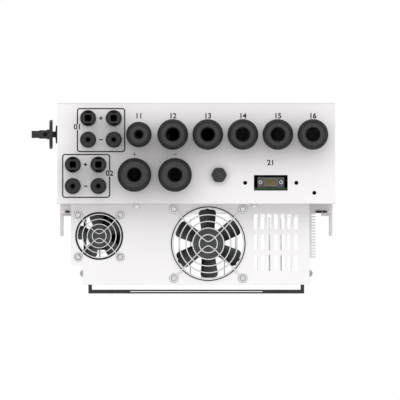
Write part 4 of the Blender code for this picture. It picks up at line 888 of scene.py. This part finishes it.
def make_data_port():
    """Nine-pin data port: plated flange and shell, jack nuts, and the insert with its pins."""
    node = "comm_port"
    low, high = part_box(node)
    spot = axis_of(node)
    flange = second_level(node)
    rim = rounded(low.x, low.y, high.x, high.y, PORT_FLANGE_CORNER, 4)
    inner = shell_outline(spot, SHELL_WALL)
    rear = flange + PORT_FLANGE
    place_sheet("port_flange", [rim, inner], flange, rear, "nickel", "wire_steel", [node], PORT_EASE)
    outer = shell_outline(spot, 0)
    place_sheet("port_shell", [outer, inner], low.z, flange + EASE, "steel", "wire_steel", ease=SHELL_EASE)

    bm = bmesh.new()
    end = flange - JACK_LENGTH
    nut = [(JACK_BORE, flange + SINK), (JACK, flange + SINK), (JACK, end + EASE), (0.46 * JACK, end)]
    nut += [(JACK_BORE + PORT_EASE, end), (JACK_BORE, end + EASE)]
    for side in (-1, 1):
        centre = spot + Vector((side * JACK_SPAN / 2, 0, 0))
        add_turned(bm, nut, centre, sides=HEX_SIDES, shape=hexagonal(JACK, JACK / math.sqrt(3) * 0.97))
    place("port_jack_nuts", bm, "zinc", "wire_steel")

    bm = bmesh.new()
    u, v = INSERT_INSET
    proud, short = INSERT_ENDS
    add_sheet(bm, [shell_outline(spot, SHELL_WALL + PORT_RUN)], flange - proud, high.z - short, PORT_EASE)
    add_eased_box(bm, (low.x + u, low.y + v, rear + PORT_RUN), (high.x - u, high.y - v, high.z))
    place("port_insert", bm, "insert", "black_plastic")

    bm = bmesh.new()
    tip = low.z + PIN_DEPTH
    pin = [(0, flange), (PIN / 2, flange), (PIN / 2, tip + PIN / 2), (PIN / 3, tip + PIN / 6), (0, tip)]
    for count, row in ((5, -PIN_ROW), (4, PIN_ROW)):
        for i in range(count):
            add_turned(bm, pin, spot + Vector(((i - (count - 1) / 2) * PIN_PITCH, row, 0)), sides=12)
    place("port_pins", bm, "gold", "wire_steel")


# Printed marks: plain numbers, poles and group outlines

PRINT_RISE = 0.00012
NUMBER_SIZE = 0.0112
NUMBER_WEIGHT = 0.00030
NUMBER_Y = -0.27275
PORT_NUMBER_FROM = 0.0215
MARK_STROKE = 0.0016
MARK_SIZE = 0.0056
BATTERY_MARK_Y = -0.2146
BATTERY_STROKE = 0.0008
BOX_LINE = 0.0018
BOX_CORNER = 0.0045
BOX_GAP = 0.0045
# For each PV group: the side its number stands on, the number's shift, and the outline's margins from the
# sockets at the left, front, right and rear
BOXES = {
    1: (-1, -0.0047, (0.0049, 0.0031, 0.0052, 0.0068)),
    2: (1, -0.0037, (0.0040, 0.0040, 0.0056, 0.0057)),
}


def add_number(bm, text, x, y):
    """A plain number read from below, centred on a spot of the panel."""
    curve = bpy.data.curves.new("number", "FONT")
    curve.body = text
    curve.size = NUMBER_SIZE
    curve.align_x = "CENTER"
    curve.align_y = "CENTER"
    curve.extrude = (PRINT_RISE + SINK) / 2
    curve.offset = NUMBER_WEIGHT
    made = curve_mesh(curve)
    for vertex in made.verts:
        u, v, w = vertex.co
        vertex.co = (x + u, y - v, PANEL_Z + w + (SINK - PRINT_RISE) / 2)
    join_mesh(bm, made)


def add_pole(bm, x, y, plus, width=MARK_STROKE):
    """A plus or minus mark."""
    half, stroke = MARK_SIZE / 2, width / 2
    outline = corners_of((-half, -stroke), (half, stroke))
    if plus:
        outline = [(-half, -stroke), (-stroke, -stroke), (-stroke, -half), (stroke, -half), (stroke, -stroke)]
        outline += [(half, -stroke)]
        outline += [(-u, -v) for u, v in outline]
    add_prism(bm, [(x + u, y + v) for u, v in outline], PANEL_Z - PRINT_RISE, PANEL_Z + SINK)


def add_box_line(bm, box, side, low, high):
    """A rounded outline, open from low to high on one side, where its number stands."""
    left, front, right, rear = box
    inset = BOX_LINE / 2
    line = rounded(left + inset, front + inset, right - inset, rear - inset, BOX_CORNER - inset)
    line = [Vector((u, v, PANEL_Z)) for u, v in line]
    edge = right - inset if side > 0 else left + inset
    near, far = Vector((edge, low, PANEL_Z)), Vector((edge, high, PANEL_Z))
    half = len(line) // 2
    path = [far, *line[half:], *line[:half], near] if side > 0 else [near, *line, far]
    rows = []
    for i, point in enumerate(path):
        across = across_path(path, i) * inset
        spots = [(point + across, -PRINT_RISE), (point + across, SINK), (point - across, SINK)]
        spots.append((point - across, -PRINT_RISE))
        rows.append([bm.verts.new((at.x, at.y, PANEL_Z + rise)) for at, rise in spots])
    for first, second in zip(rows, rows[1:]):
        add_band(bm, first, second)
    bm.faces.new(rows[0])
    bm.faces.new(rows[-1])


def make_prints():
    """Numbers over the glands, poles by the sockets and an outline round each PV group."""
    bm = bmesh.new()
    for i, gland in enumerate(["data_gland", *AC_GLANDS]):
        add_number(bm, str(i + 11), middle_of(f"{gland}_nut").x, NUMBER_Y)
    add_number(bm, "21", middle_of("comm_port").x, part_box("comm_port")[0].y - PORT_NUMBER_FROM)
    for pole in ("plus", "minus"):
        x = middle_of(f"battery_gland_{pole}_nut").x
        add_pole(bm, x, BATTERY_MARK_Y, pole == "plus", BATTERY_STROKE)
    for group, (side, shift, (left, front, right, rear)) in BOXES.items():
        boxes = [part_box(node) for node in SOCKETS if node.startswith(f"pv_{group}")]
        box = (min(low.x for low, _ in boxes) - left, min(low.y for low, _ in boxes) - front,
               max(high.x for _, high in boxes) + right, max(high.y for _, high in boxes) + rear)
        middle = (box[1] + box[3]) / 2 + shift
        add_box_line(bm, box, side, middle - BOX_GAP, middle + BOX_GAP)
        edge = box[0] + BOX_LINE / 2 if side < 0 else box[2] - BOX_LINE / 2
        add_number(bm, f"0{group}", edge, middle)
        for pole in ("plus", "minus"):
            first, second = middle_of(f"pv_{group}_{pole}_a"), middle_of(f"pv_{group}_{pole}_b")
            add_pole(bm, (first.x + second.x) / 2, first.y, pole == "plus")
    place("printed_marks", bm, "ink", "black_plastic")


# Duct plate and fans

# For each fan: its blades and their turn, the struts' turn, the blades' width at root and tip, their gap to
# the bore and round corners, the guard's wire, first ring, step and rings, and the screws' reach and head
FANS = {
    "large_fan": {"blades": 6, "turn": 28.2, "struts": 28.2, "root": 0.0205, "tip": 0.0280, "gap": 0.0044,
                  "round": 0.0050, "wire": 0.0020, "first": 0.0138, "step": 0.0101, "rings": 5,
                  "screw": 0.0525, "head": 0.0038},
    "small_fan": {"blades": 5, "turn": 46.0, "struts": 58.0, "root": 0.0134, "tip": 0.0238, "gap": 0.0040,
                  "round": 0.0030, "wire": 0.0015, "first": 0.0106, "step": 0.0075, "rings": 4,
                  "screw": 0.0319, "head": 0.0036},
}
FAN_LIP = 0.0026  # frame's lower lip inside the plate's hole
FAN_FLANGE = 0.0040
FAN_LIP_RISE = 1.6  # how high the lip reaches, in flanges
FAN_CORNER = 0.005
FAN_LAPS = (0.0006, 0.0002)  # wall's distance from the flanges' faces, at its outside and in the bore
FAN_HOLE = 0.0043
FAN_STRUTS = 3
FAN_STRUT = 0.005
FAN_STRUT_HEIGHT = 0.004
FAN_STRUT_EASE = 0.0008
FAN_STRUT_SINK = 0.001  # how far a strut reaches into the frame
CUP_EDGE = 0.001
CUP_RAISED = 0.0003  # motor cup's floor above the struts' feet
FAN_SHAFT = (0.004, 0.010)  # radius, and where it ends above the frame's foot
HUB_BORE = (0.0043, 0.0097)  # the same for the bore round it
HUB_ROUND = 0.0022
HUB_DISH = 0.0005
BLADE_SHEET = 0.0016
BLADE_INSET = 0.002
BLADE_CAMBER = 0.0016
BLADE_STATIONS = 18
BLADE_CHORD = 14
GUARD_APEX = -0.003
GUARD_BEND = 0.006
GUARD_STEPS = 14
GUARD_WELD = 0.8
GUARD_EYE = 0.0054  # radius of the eyes, at the middle of their wire
WASHER_REACH = 0.0006  # how far the washer under an eye reaches past its wire, as painted shadow round the eye
WASHER = 0.0006
WASHER_EASE = 0.0002
SHEET_EASE = 0.0004
SLOT = (0.0062, 0.0246)
SLOT_PITCH = (0.0102, 0.0316)
SLOT_COUNT = (7, 3)
SLOT_CORNER = 0.0020
FIRST_SLOT = (0.0723, -0.0022)  # from the large fan's shaft, to the middle slot of the first column
PLATE_BOLTS_X = (-0.0900, 0.0885)
PLATE_BOLT_FROM_FRONT = 0.0037
PLATE_BOLT = 0.0064  # across the flats of its head
PLATE_BOLT_HEAD = 0.0030
PROUD = 1.0  # height of a screw head, as a share of its radius
FLUSH = 0.20


def fan_axis(name):
    return axis_of(f"{name}_frame")


def fan_bore(name):
    return foot_radii(f"{name}_frame")[0]


def hub_radius(name):
    return foot_radii(f"{name}_rotor")[1]


def fan_corners(name):
    """The four screw places of a fan."""
    spot, reach = fan_axis(name), FANS[name]["screw"]
    return [(spot.x + i * reach, spot.y + j * reach) for i in (-1, 1) for j in (-1, 1)]


def fan_holes(name):
    """Outlines of a fan's bore and its screw holes."""
    spot = fan_axis(name)
    screws = [circle(x, y, FAN_HOLE / 2, SMALL) for x, y in fan_corners(name)]
    return [circle(spot.x, spot.y, fan_bore(name), FINE), *screws]


def make_duct_plate():
    """Plate under the duct with both fans' holes and the slots, its front bolts, and the fans' screws."""
    low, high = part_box("duct_plate")
    wing = min(point.y for point in points_of("duct_plate")
               if point.x < low.x + EASE and point.y > low.y + EASE)
    outline = [(low.x, low.y), (high.x, low.y), (high.x, high.y)]
    outline += [(-high.x, high.y), (-high.x, wing), (low.x, wing)]
    holes = [hole for name in FANS for hole in fan_holes(name)]
    shaft = fan_axis("large_fan")
    half_x, half_y = SLOT[0] / 2, SLOT[1] / 2
    for row in range(SLOT_COUNT[1]):
        y = shaft.y + FIRST_SLOT[1] + (row - 1) * SLOT_PITCH[1]
        for column in range(SLOT_COUNT[0]):
            x = shaft.x + FIRST_SLOT[0] + column * SLOT_PITCH[0]
            holes.append(rounded(x - half_x, y - half_y, x + half_x, y + half_y, SLOT_CORNER))
    place_sheet("fan_plate", [outline, *holes], low.z, high.z, "paint", "white_paint", ["duct_plate"],
                SHEET_EASE)

    seat = low.z + SINK
    bm = bmesh.new()
    end = low.z - PLATE_BOLT_HEAD
    head = [(0, seat), (PLATE_BOLT, seat), (PLATE_BOLT, end + EASE), (0.47 * PLATE_BOLT, end), (0, end)]
    spanner = hexagonal(PLATE_BOLT, PLATE_BOLT / math.sqrt(3) * 0.98)
    for x in PLATE_BOLTS_X:
        add_turned(bm, head, (x, low.y + PLATE_BOLT_FROM_FRONT, 0), sides=HEX_SIDES, shape=spanner)
    place("plate_bolts", bm, "zinc", "wire_steel")

    bm = bmesh.new()
    for name, fan in FANS.items():
        for x, y in fan_corners(name):
            add_screw(bm, (x, y, seat), "Z", -1, fan["head"], PROUD)
    place("plate_screws", bm, "zinc", "wire_steel")

    # Steel washers under the guard's eyes, grey rings sized to stand in for the shadow round each eye: partly
    # painted shadow
    bm = bmesh.new()
    foot = low.z - WASHER
    for name, fan in FANS.items():
        inside, outside = 0.6 * fan["head"], GUARD_EYE + 0.5 * fan["wire"] + WASHER_REACH
        ring = [(inside, seat), (outside, seat), (outside, foot + WASHER_EASE)]
        ring += [(outside - WASHER_EASE, foot), (inside, foot)]
        for x, y in fan_corners(name):
            add_turned(bm, ring, (x, y, 0), sides=ROUND)
    place("guard_washers_as_eye_shadow", bm, "steel", "wire_steel")


def make_fan_frame(name):
    """Square frame with a lip, two flanges, the motor cup on its struts, and the shaft."""
    node = f"{name}_frame"
    low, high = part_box(node)
    spot, bore, hub = fan_axis(name), fan_bore(name), hub_radius(name)
    outlines = [rounded(low.x, low.y, high.x, high.y, FAN_CORNER), *fan_holes(name)]
    bm = bmesh.new()
    for start in (low.z, high.z - FAN_FLANGE):
        add_sheet(bm, outlines, start, start + FAN_FLANGE, SHEET_EASE)
    side = radius_of(node) - SHEET_EASE
    lap, bore_lap = FAN_LAPS
    wall = [(bore - FAN_LIP, low.z + lap), (bore - FAN_LIP / 2, low.z), (side, low.z + lap)]
    wall += [(side, high.z - lap), (bore, high.z - bore_lap), (bore, low.z + FAN_FLANGE * FAN_LIP_RISE)]
    add_turned(bm, wall, spot, sides=FINE)
    strut_z = high.z - FAN_STRUT_HEIGHT
    for i in range(FAN_STRUTS):
        strut = bmesh.new()
        end = (bore + FAN_STRUT_SINK, FAN_STRUT / 2, high.z - SEAT)
        add_eased_box(strut, (0, -FAN_STRUT / 2, strut_z), end, FAN_STRUT_EASE)
        turn = math.radians(FANS[name]["struts"] + 360 * i / FAN_STRUTS)
        about = Matrix.Translation(spot) @ Matrix.Rotation(turn, 4, "Z")
        bmesh.ops.transform(strut, matrix=about, verts=strut.verts)
        join_mesh(bm, strut)
    shaft, end = FAN_SHAFT[0], low.z + FAN_SHAFT[1]
    floor = strut_z + CUP_RAISED
    cup = [(0, high.z), (hub - CUP_EDGE, high.z), (hub, high.z - CUP_EDGE), (hub, floor), (shaft, floor)]
    cup += [(shaft, end + EASE), (shaft - EASE, end), (0, end)]
    add_turned(bm, cup, spot)
    place(f"{name}_housing", bm, "black", "black_plastic", [node])


def add_blade(bm, name, turn, low, high):
    """A cambered blade with round outer corners that climbs from its leading to its trailing edge."""
    fan, spot = FANS[name], fan_axis(name)
    root, tip, corner = hub_radius(name) - BLADE_INSET, fan_bore(name) - fan["gap"], fan["round"]
    rims = []
    for lift in (-0.5, 0.5):
        grid = []
        for i in range(BLADE_STATIONS):
            share = 1 - (1 - i / (BLADE_STATIONS - 1)) ** 2
            radius = root + (tip - root) * share
            past = max(0.0, radius - (tip - corner))
            width = fan["root"] + (fan["tip"] - fan["root"]) * share
            width -= 2 * (corner - math.sqrt(max(0.0, corner ** 2 - past ** 2)))
            row = []
            for j in range(BLADE_CHORD):
                across = j / (BLADE_CHORD - 1)
                bulge = 1 - (2 * across - 1) ** 2
                climb = (high - low - BLADE_SHEET) * (1 - 0.25 * share) * (across - 0.5)
                thick = BLADE_SHEET * (0.45 + 0.55 * math.sqrt(max(0.0, bulge)))
                z = (low + high) / 2 + climb - BLADE_CAMBER * bulge + lift * thick
                angle = turn + (across - 0.5) * width / radius
                at = Vector((radius * math.cos(angle), radius * math.sin(angle), z))
                row.append(bm.verts.new(spot + at))
            grid.append(row)
        for first, second in zip(grid, grid[1:]):
            for j in range(BLADE_CHORD - 1):
                bm.faces.new((first[j], second[j], second[j + 1], first[j + 1]))
        rim = [row[0] for row in grid] + grid[-1][1:] + [row[-1] for row in grid[-2::-1]]
        rims.append(rim + grid[0][-2:0:-1])
    add_band(bm, *rims)


def make_fan_rotor(name):
    """Hub with a rounded rim and a shallow dish, and its blades."""
    node = f"{name}_rotor"
    fan, hub = FANS[name], hub_radius(name)
    low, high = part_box(node)
    bore, bore_z = HUB_BORE[0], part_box(f"{name}_frame")[0].z + HUB_BORE[1]
    profile = [(0, low.z + HUB_DISH), (0.30 * hub, low.z + HUB_DISH), (0.34 * hub, low.z)]
    profile += arc(hub - HUB_ROUND, low.z + HUB_ROUND, HUB_ROUND, -90, 0, 6)
    profile += [(hub, high.z - EASE), (hub - EASE, high.z), (bore, high.z), (bore, bore_z), (0, bore_z)]
    bm = bmesh.new()
    add_turned(bm, profile, fan_axis(name))
    for i in range(fan["blades"]):
        turn = math.radians(fan["turn"] + 360 * i / fan["blades"])
        add_blade(bm, name, turn, low.z + BLADE_INSET, high.z - BLADE_INSET)
    place(f"{name}_impeller", bm, "fan", "black_plastic", [node], node)


def make_fan_guard(name):
    """Wire rings on two bent wires whose eyes lie under the fan's screws."""
    fan, spot = FANS[name], fan_axis(name)
    wire = fan["wire"]
    bent_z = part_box("duct_plate")[0].z - SEAT - wire / 2
    ring_z = bent_z - GUARD_WELD * wire
    bm = bmesh.new()
    for i in range(fan["rings"]):
        add_ring(bm, fan["first"] + i * fan["step"], wire, (spot.x, spot.y, ring_z), FINE)
    stop = fan["screw"] - GUARD_EYE * math.sqrt(0.5)
    slope = (stop - GUARD_APEX) / math.hypot(stop, GUARD_BEND)
    for way in (-1, 1):
        path = []
        for i in range(-GUARD_STEPS, GUARD_STEPS + 1):
            x = stop * i * abs(i) / GUARD_STEPS ** 2
            y = way * (GUARD_APEX + slope * math.hypot(x, GUARD_BEND))
            path.append(Vector((spot.x + x, spot.y + y, bent_z)))
        add_tube(bm, path, wire / 2)
    for x, y in fan_corners(name):
        add_ring(bm, GUARD_EYE, wire, (x, y, bent_z), ROUND)
    place(f"{name}_wire_guard", bm, "wire", "wire_steel", [f"{name}_guard"])


# Covers, display and keys

COVER_ROUND = 0.0050
PLATE_ROUND = 0.0017
COVER_STEPS = 5
CUT = 0.01  # how far a cut reaches past what it opens
COVER_SCREW = 0.0034
HOOD_SCREWS = (0.03, 0.05, 0.010)  # from the hood's foot, top and rear edge
SCREW_FROM_EDGE = 0.0075
LID_FOOT = 0.003  # how much further the lid's lower screws are from its foot
FASCIA = (0.078, 0.0175, 0.0470)  # half width, below the keys and above the lens's middle
FASCIA_RISE = 0.0009
FASCIA_CORNER = 0.006
FASCIA_EASE = 0.0003
LENS_CORNER = 0.002
LENS_RISE = 0.6  # as a share of the fascia's
SCREEN_MARGIN = (0.010, 0.009)
SCREEN_CORNER = 0.001
SCREEN_DEPTHS = (-0.0002, 0.0004)  # before and behind the lens's face
SCREEN_EASE = 0.00015
KEYS = ("key_escape", "key_up", "key_down", "key_enter")
KEY_PROUD = 0.0022
KEY_RUN = 0.0004
# Depth behind the face, by share of the cap's radius
KEY_DOME = ((0, 0.0003), (0.45, 0.0002), (0.70, 0), (0.86, 0.0002), (0.96, 0.0006), (1, 0.0013))
LIGHTS = {"run_light": (-1.5, -0.5, 0.5), "alarm_light": (1.5,)}  # places, in pitches from the middle
LIGHT = 0.0017
LIGHT_DOME = 0.0008
LIGHT_PITCH = 0.014
LIGHT_ABOVE_LENS = 0.0085


def add_hood(bm, low, high, radius):
    """A box with the edges of its front and the side edges of its top rounded."""
    def shows(edge):
        first, second = [vertex.co for vertex in edge.verts]
        in_front = max(first.y, second.y) < low[1] + TINY
        along_top = min(first.z, second.z) > high[2] - TINY and abs(first.y - second.y) > TINY
        return in_front or along_top
    add_eased_box(bm, low, high, radius, COVER_STEPS, shows)


def cap_radius(node):
    """Radius of a key's cap at the cover's face."""
    spot, front = middle_of(node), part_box(node)[0].y + TINY
    return max((point - spot).xz.length for point in points_of(node) if point.y < front)


def lens_outline(margin):
    low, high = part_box("display_lens")
    return rounded(low.x - margin, low.z - margin, high.x + margin, high.z + margin, LENS_CORNER, 4)


def control_holes():
    """Outlines of the display's window and the keys' holes."""
    spots = [(middle_of(node), cap_radius(node) + KEY_RUN) for node in KEYS]
    return [lens_outline(SEAT), *(circle(spot.x, spot.z, radius) for spot, radius in spots)]


def make_front_cover():
    """Hood over the upper body with rounded edges, the display's window and the keys' holes."""
    low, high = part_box("front_cover")
    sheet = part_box("display_lens")[1].y - low.y
    bm = bmesh.new()
    add_hood(bm, low, high, COVER_ROUND)
    made = place("front_hood", bm, "paint", "white_paint", ["front_cover"])
    bm = bmesh.new()
    inside = (low.x + sheet, low.y + sheet, low.z - CUT)
    add_hood(bm, inside, (high.x - sheet, high.y + CUT, high.z - sheet), COVER_ROUND - sheet)
    carve(made, bm)
    bm = bmesh.new()
    for hole in control_holes():
        add_prism(bm, hole, low.y - CUT, low.y + CUT, "Y")
    carve(made, bm)
    bm = bmesh.new()
    from_foot, from_top, from_rear = HOOD_SCREWS
    for way in (-1, 1):
        for z in (low.z + from_foot, (low.z + high.z) / 2, high.z - from_top):
            add_screw(bm, (way * (high.x - SINK), high.y - from_rear, z), "X", way, COVER_SCREW, FLUSH)
    place("hood_screws", bm, "zinc", "wire_steel")


def make_key(node, face):
    """Key with a dished cap through the cover and a flange behind it."""
    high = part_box(node)[1]
    spot, cap, flange = middle_of(node), cap_radius(node), radius_of(node)
    inside = max(point.y for point in points_of(node) if point.y < high.y - TINY)
    profile = [(share * cap, face + depth) for share, depth in KEY_DOME]
    profile += [(cap, inside), (flange, inside), (flange, high.y), (0, high.y)]
    place_turned(f"{node}_cap", profile, (spot.x, 0, spot.z), "key", "dark_plastic", [node], node,
                 axis="Y", sides=ROUND)


def make_display():
    """Dark fascia with the lens, its screen, four keys and the indicator lights."""
    low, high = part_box("display_lens")
    front = low.y
    half, below, above = FASCIA
    foot, head = middle_of("key_up").z - below, middle_of("display_lens").z + above
    outlines = [rounded(-half, foot, half, head, FASCIA_CORNER), *control_holes()]
    proud, face = front - FASCIA_RISE, front - FASCIA_RISE * LENS_RISE
    place_sheet("control_fascia", outlines, proud, front + SINK, "knob", "dark_plastic", (), FASCIA_EASE, "Y")
    place_sheet("display_window", [lens_outline(0)], face, high.y, "lens", "lens", ["display_lens"],
                SHEET_EASE, "Y")
    u, v = SCREEN_MARGIN
    screen = rounded(low.x + u, low.z + v, high.x - u, high.z - v, SCREEN_CORNER, 2)
    near, far = [face + depth for depth in SCREEN_DEPTHS]
    place_sheet("display_screen", [screen], near, far, "screen", "lens", (), SCREEN_EASE, "Y")
    for node in KEYS:
        make_key(node, front - KEY_PROUD)
    dome = [(0, front), (LIGHT, front)]
    for degrees in range(0, 90, 18):
        turn = math.radians(degrees)
        dome.append((LIGHT * math.cos(turn), proud - LIGHT_DOME * math.sin(turn)))
    dome.append((0, proud - LIGHT_DOME))
    for name, places in LIGHTS.items():
        bm = bmesh.new()
        for share in places:
            add_turned(bm, dome, (share * LIGHT_PITCH, 0, high.z + LIGHT_ABOVE_LENS), "Y", SMALL)
        place(name, bm, name, "lens")


def make_wiring_cover():
    """Flat cover over the wiring box with rounded front edges and flush screws."""
    low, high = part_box("wiring_cover")
    bm = bmesh.new()
    add_hood(bm, low, high, PLATE_ROUND)
    place("wiring_lid", bm, "paint", "white_paint", ["wiring_cover"])
    bm = bmesh.new()
    for x in (low.x + SCREW_FROM_EDGE, 0, high.x - SCREW_FROM_EDGE):
        for z in (low.z + SCREW_FROM_EDGE + LID_FOOT, high.z - SCREW_FROM_EDGE):
            add_screw(bm, (x, low.y + SINK, z), "Y", -1, COVER_SCREW, FLUSH)
    place("lid_screws", bm, "zinc", "wire_steel")


# DC switch

LEVER_STEPS = ((0.0117, 0.0109), (0.0232, 0.0129), (0.0270, 0.0150))  # from the tip: length, width
LEVER_HEIGHT = 0.040
LEVER_HOLE = 0.0063
LEVER_HOLE_FROM_DISC = 0.0058
LEVER_HOLE_DEPTH = 0.010
LEVER_EASE = 0.0007
LEVER_SINK = 0.001
DISC = 0.0050
DISC_ROUNDS = (0.0012, 0.0018)  # at its rear and its front rim
DISC_DISH = 0.0005
STEM = 0.0093
STEM_RUN = 0.0003
ESCUTCHEON_RISE = 0.0013  # how far the escutcheon stands past its solid
ESCUTCHEON_EDGE = 0.0008
ESCUTCHEON_BOSS = (0.0079, 0.0005)  # radius and rise


def make_switch():
    """Rotary switch: escutcheon on the wall, and a knob with its disc, stepped lever and lock hole."""
    base_low, base_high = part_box("dc_switch_base")
    knob_low, knob_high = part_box("dc_switch_knob")
    middle = middle_of("dc_switch_base")
    centre = (0, middle.y, middle.z)
    outer, stem = (base_high.y - base_low.y) / 2, STEM / 2
    bore = stem + STEM_RUN
    wall, face = base_high.x, base_low.x - ESCUTCHEON_RISE
    boss, rise = ESCUTCHEON_BOSS
    profile = [(bore, wall), (outer, wall), (outer, face + ESCUTCHEON_EDGE), (outer - ESCUTCHEON_EDGE, face)]
    profile += [(boss, face), (boss - EASE, face - rise), (bore, face - rise)]
    place_turned("switch_escutcheon", profile, centre, "knob", "dark_plastic", ["dc_switch_base"], axis="X")

    disc, tip = (knob_high.y - knob_low.y) / 2, knob_low.x
    rear, front = DISC_ROUNDS
    disc_out = tip + LEVER_STEPS[-1][0]
    disc_in = disc_out + DISC
    profile = [(0, knob_high.x), (stem, knob_high.x), (stem, disc_in), (disc - rear, disc_in)]
    profile += [(u, w) for w, u in arc(disc_in - rear, disc - rear, rear, 0, 90, 4)][1:]
    profile += [(u, w) for w, u in arc(disc_out + front, disc - front, front, 90, 180, 6)]
    profile += [(disc * 0.86, disc_out), (disc * 0.84, disc_out + DISC_DISH), (0, disc_out + DISC_DISH)]
    bm = bmesh.new()
    add_turned(bm, profile, centre, "X")
    sides = []
    start = tip
    for length, width in LEVER_STEPS:
        sides += [(start, width / 2), (tip + length, width / 2)]
        start = tip + length
    sides[-1] = (disc_out + LEVER_SINK, sides[-1][1])
    lever = [(x, middle.y - half) for x, half in sides]
    lever += [(x, middle.y + half) for x, half in reversed(sides)]
    hole = circle(disc_out - LEVER_HOLE_FROM_DISC, middle.y, LEVER_HOLE / 2, SMALL)
    low, high = middle.z - LEVER_HEIGHT / 2, middle.z + LEVER_HEIGHT / 2
    floor = low + LEVER_HOLE_DEPTH
    add_sheet(bm, [lever, hole], low, floor, LEVER_EASE)
    add_sheet(bm, [lever], floor - 2 * LEVER_EASE, high, LEVER_EASE)
    place("switch_knob", bm, "knob", "dark_plastic", ["dc_switch_knob"], "dc_switch_knob")


# Bolts of the handles, and lock screws

BOLT = 0.0036
BOLT_SIDES = 48
BOLT_SHANK = 0.0022
BOLT_FROM_BACK = 0.0023  # from the cabinet's back
BOLT_PARTS = {-1: ((0.1939, 0.1993),), 1: ((0.1833, 0.1917), (0.1941, 0.1979))}  # heads and nuts, by side
BOLT_LUG = (0.2005, 0.2045)
BOLT_IN_LUG = 0.003
BOLT_LUG_EASE = 0.0008
LOCK_SHANK = 0.0025
LOCK_RECESS = (0.0008, 0.0022, 0.0024)  # depth of its rim, its foot and its middle


def make_ledge_bolts():
    """Bolts along the ledges' rear edges: hexagon heads and nuts on a shank that ends in a white lug."""
    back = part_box("cabinet")[1].y
    ledge = min(point.z for point in points_of("cabinet") if point.y > back - EASE)
    centre = Vector((0, back - BOLT_FROM_BACK, ledge - BOLT / 2))
    thin, bevel = BOLT_SHANK / 2, 0.42 * BOLT
    spanner = hexagonal(BOLT, BOLT / math.sqrt(3) * 0.98)
    lugs = bmesh.new()
    bm = bmesh.new()
    for way, parts in BOLT_PARTS.items():
        head, tip = way * (parts[0][0] + EASE), way * (BOLT_LUG[0] + BOLT_IN_LUG)
        add_turned(bm, [(0, head), (thin, head), (thin, tip), (0, tip)], centre, "X", SMALL)
        for start, end in parts:
            nut = [(thin - EASE, start), (bevel, start), (BOLT, start + EASE)]
            nut += [(BOLT, end - EASE), (bevel, end), (thin - EASE, end)]
            add_turned(bm, [(reach, way * x) for reach, x in nut], centre, "X", BOLT_SIDES, spanner)
        near, far = sorted(way * x for x in BOLT_LUG)
        low = (near, centre.y - BOLT / 2, centre.z - thin - EASE)
        add_eased_box(lugs, low, (far, centre.y + BOLT / 2, ledge + SINK), BOLT_LUG_EASE)
    place("handle_bolts", bm, "dark_steel", "wire_steel")
    place("handle_bolt_lugs", lugs, "paint", "white_paint")


def make_lock_screw(node, way):
    """Dome-headed screw with a cross recess, through the shroud's side."""
    low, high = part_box(node)
    spot = middle_of(node)
    head = (high.y - low.y) / 2
    tip, top = (high.x, low.x) if way < 0 else (low.x, high.x)
    seat = way * min(abs(point.x) for point in points_of(node) if (point - spot).yz.length > 0.9 * head)
    rise = abs(top - seat)
    profile = [(0, tip), (LOCK_SHANK - EASE, tip), (LOCK_SHANK, tip + way * EASE)]
    profile += [(LOCK_SHANK, seat), (head, seat)]
    for degrees in range(0, 81, 9):
        turn = math.radians(degrees)
        profile.append((head * math.cos(turn), seat + way * rise * (0.16 + 0.84 * math.sin(turn))))
    flat = seat + way * 0.99 * rise
    *pocket, foot = [flat - way * depth for depth in LOCK_RECESS]
    profile += [(0.50 * head, level) for level in pocket]
    profile.append((0, foot))
    cross = cross_recess(0.52 * head, 0.18 * head)

    def shape(radius, level, turn):
        return min(radius, cross(turn)) if level in pocket else radius
    place_turned(f"{node}_dome", profile, (0, spot.y, spot.z), "steel", "wire_steel", [node],
                 axis="X", shape=shape)


# Solids that keep their own shape

CARRIED = {
    "cabinet": "paint", "heatsink_shroud": "paint", "side_handle_left": "paint", "side_handle_right": "paint",
    "wall_bracket": "bracket", "heatsink": "aluminium", "cover_seal": "rubber", "comm_board": "board",
    "power_board": "board", "dc_switch_body": "black", "display_module": "black", "capacitor_bank": "black",
    "choke_block": "black", "ac_terminal_block": "socket", "battery_terminal_block": "socket",
}
EASED = {
    "cabinet": 0.0007, "heatsink_shroud": 0.0003, "side_handle_left": 0.0008, "side_handle_right": 0.0008,
    "wall_bracket": 0.0006, "choke_block": 0.0010, "heatsink": 0.0002,
}


def dress_solids():
    """Finishes, and eased edges where they show, on the solids that are shown as they are."""
    for node, finish in CARRIED.items():
        solid = NODES[node]
        solid.data.materials.clear()
        solid.data.materials.append(FINISH[finish])
        if node in EASED:
            bevel = solid.modifiers.new("Eased edges", "BEVEL")
            bevel.limit_method = "ANGLE"
            bevel.angle_limit = SHARP
            bevel.width = EASED[node]
            bevel.segments = 2
            solid.modifiers.new("Even shading", "WEIGHTED_NORMAL").keep_sharp = True


make_camera()
make_sky()
make_floor()
make_duct_light()
make_panel()
for gland in GLANDS:
    make_gland_nut(gland)
    make_gland_body(gland)
make_lock_nuts()
for socket in SOCKETS:
    make_socket(socket)
make_vent_plug()
make_data_port()
make_prints()
make_duct_plate()
for fan in FANS:
    make_fan_frame(fan)
    make_fan_rotor(fan)
    make_fan_guard(fan)
make_front_cover()
make_display()
make_wiring_cover()
make_switch()
make_ledge_bolts()
make_lock_screw("lock_screw_left", -1)
make_lock_screw("lock_screw_right", 1)
dress_solids()

bpy.context.scene.view_settings.view_transform = "Standard"
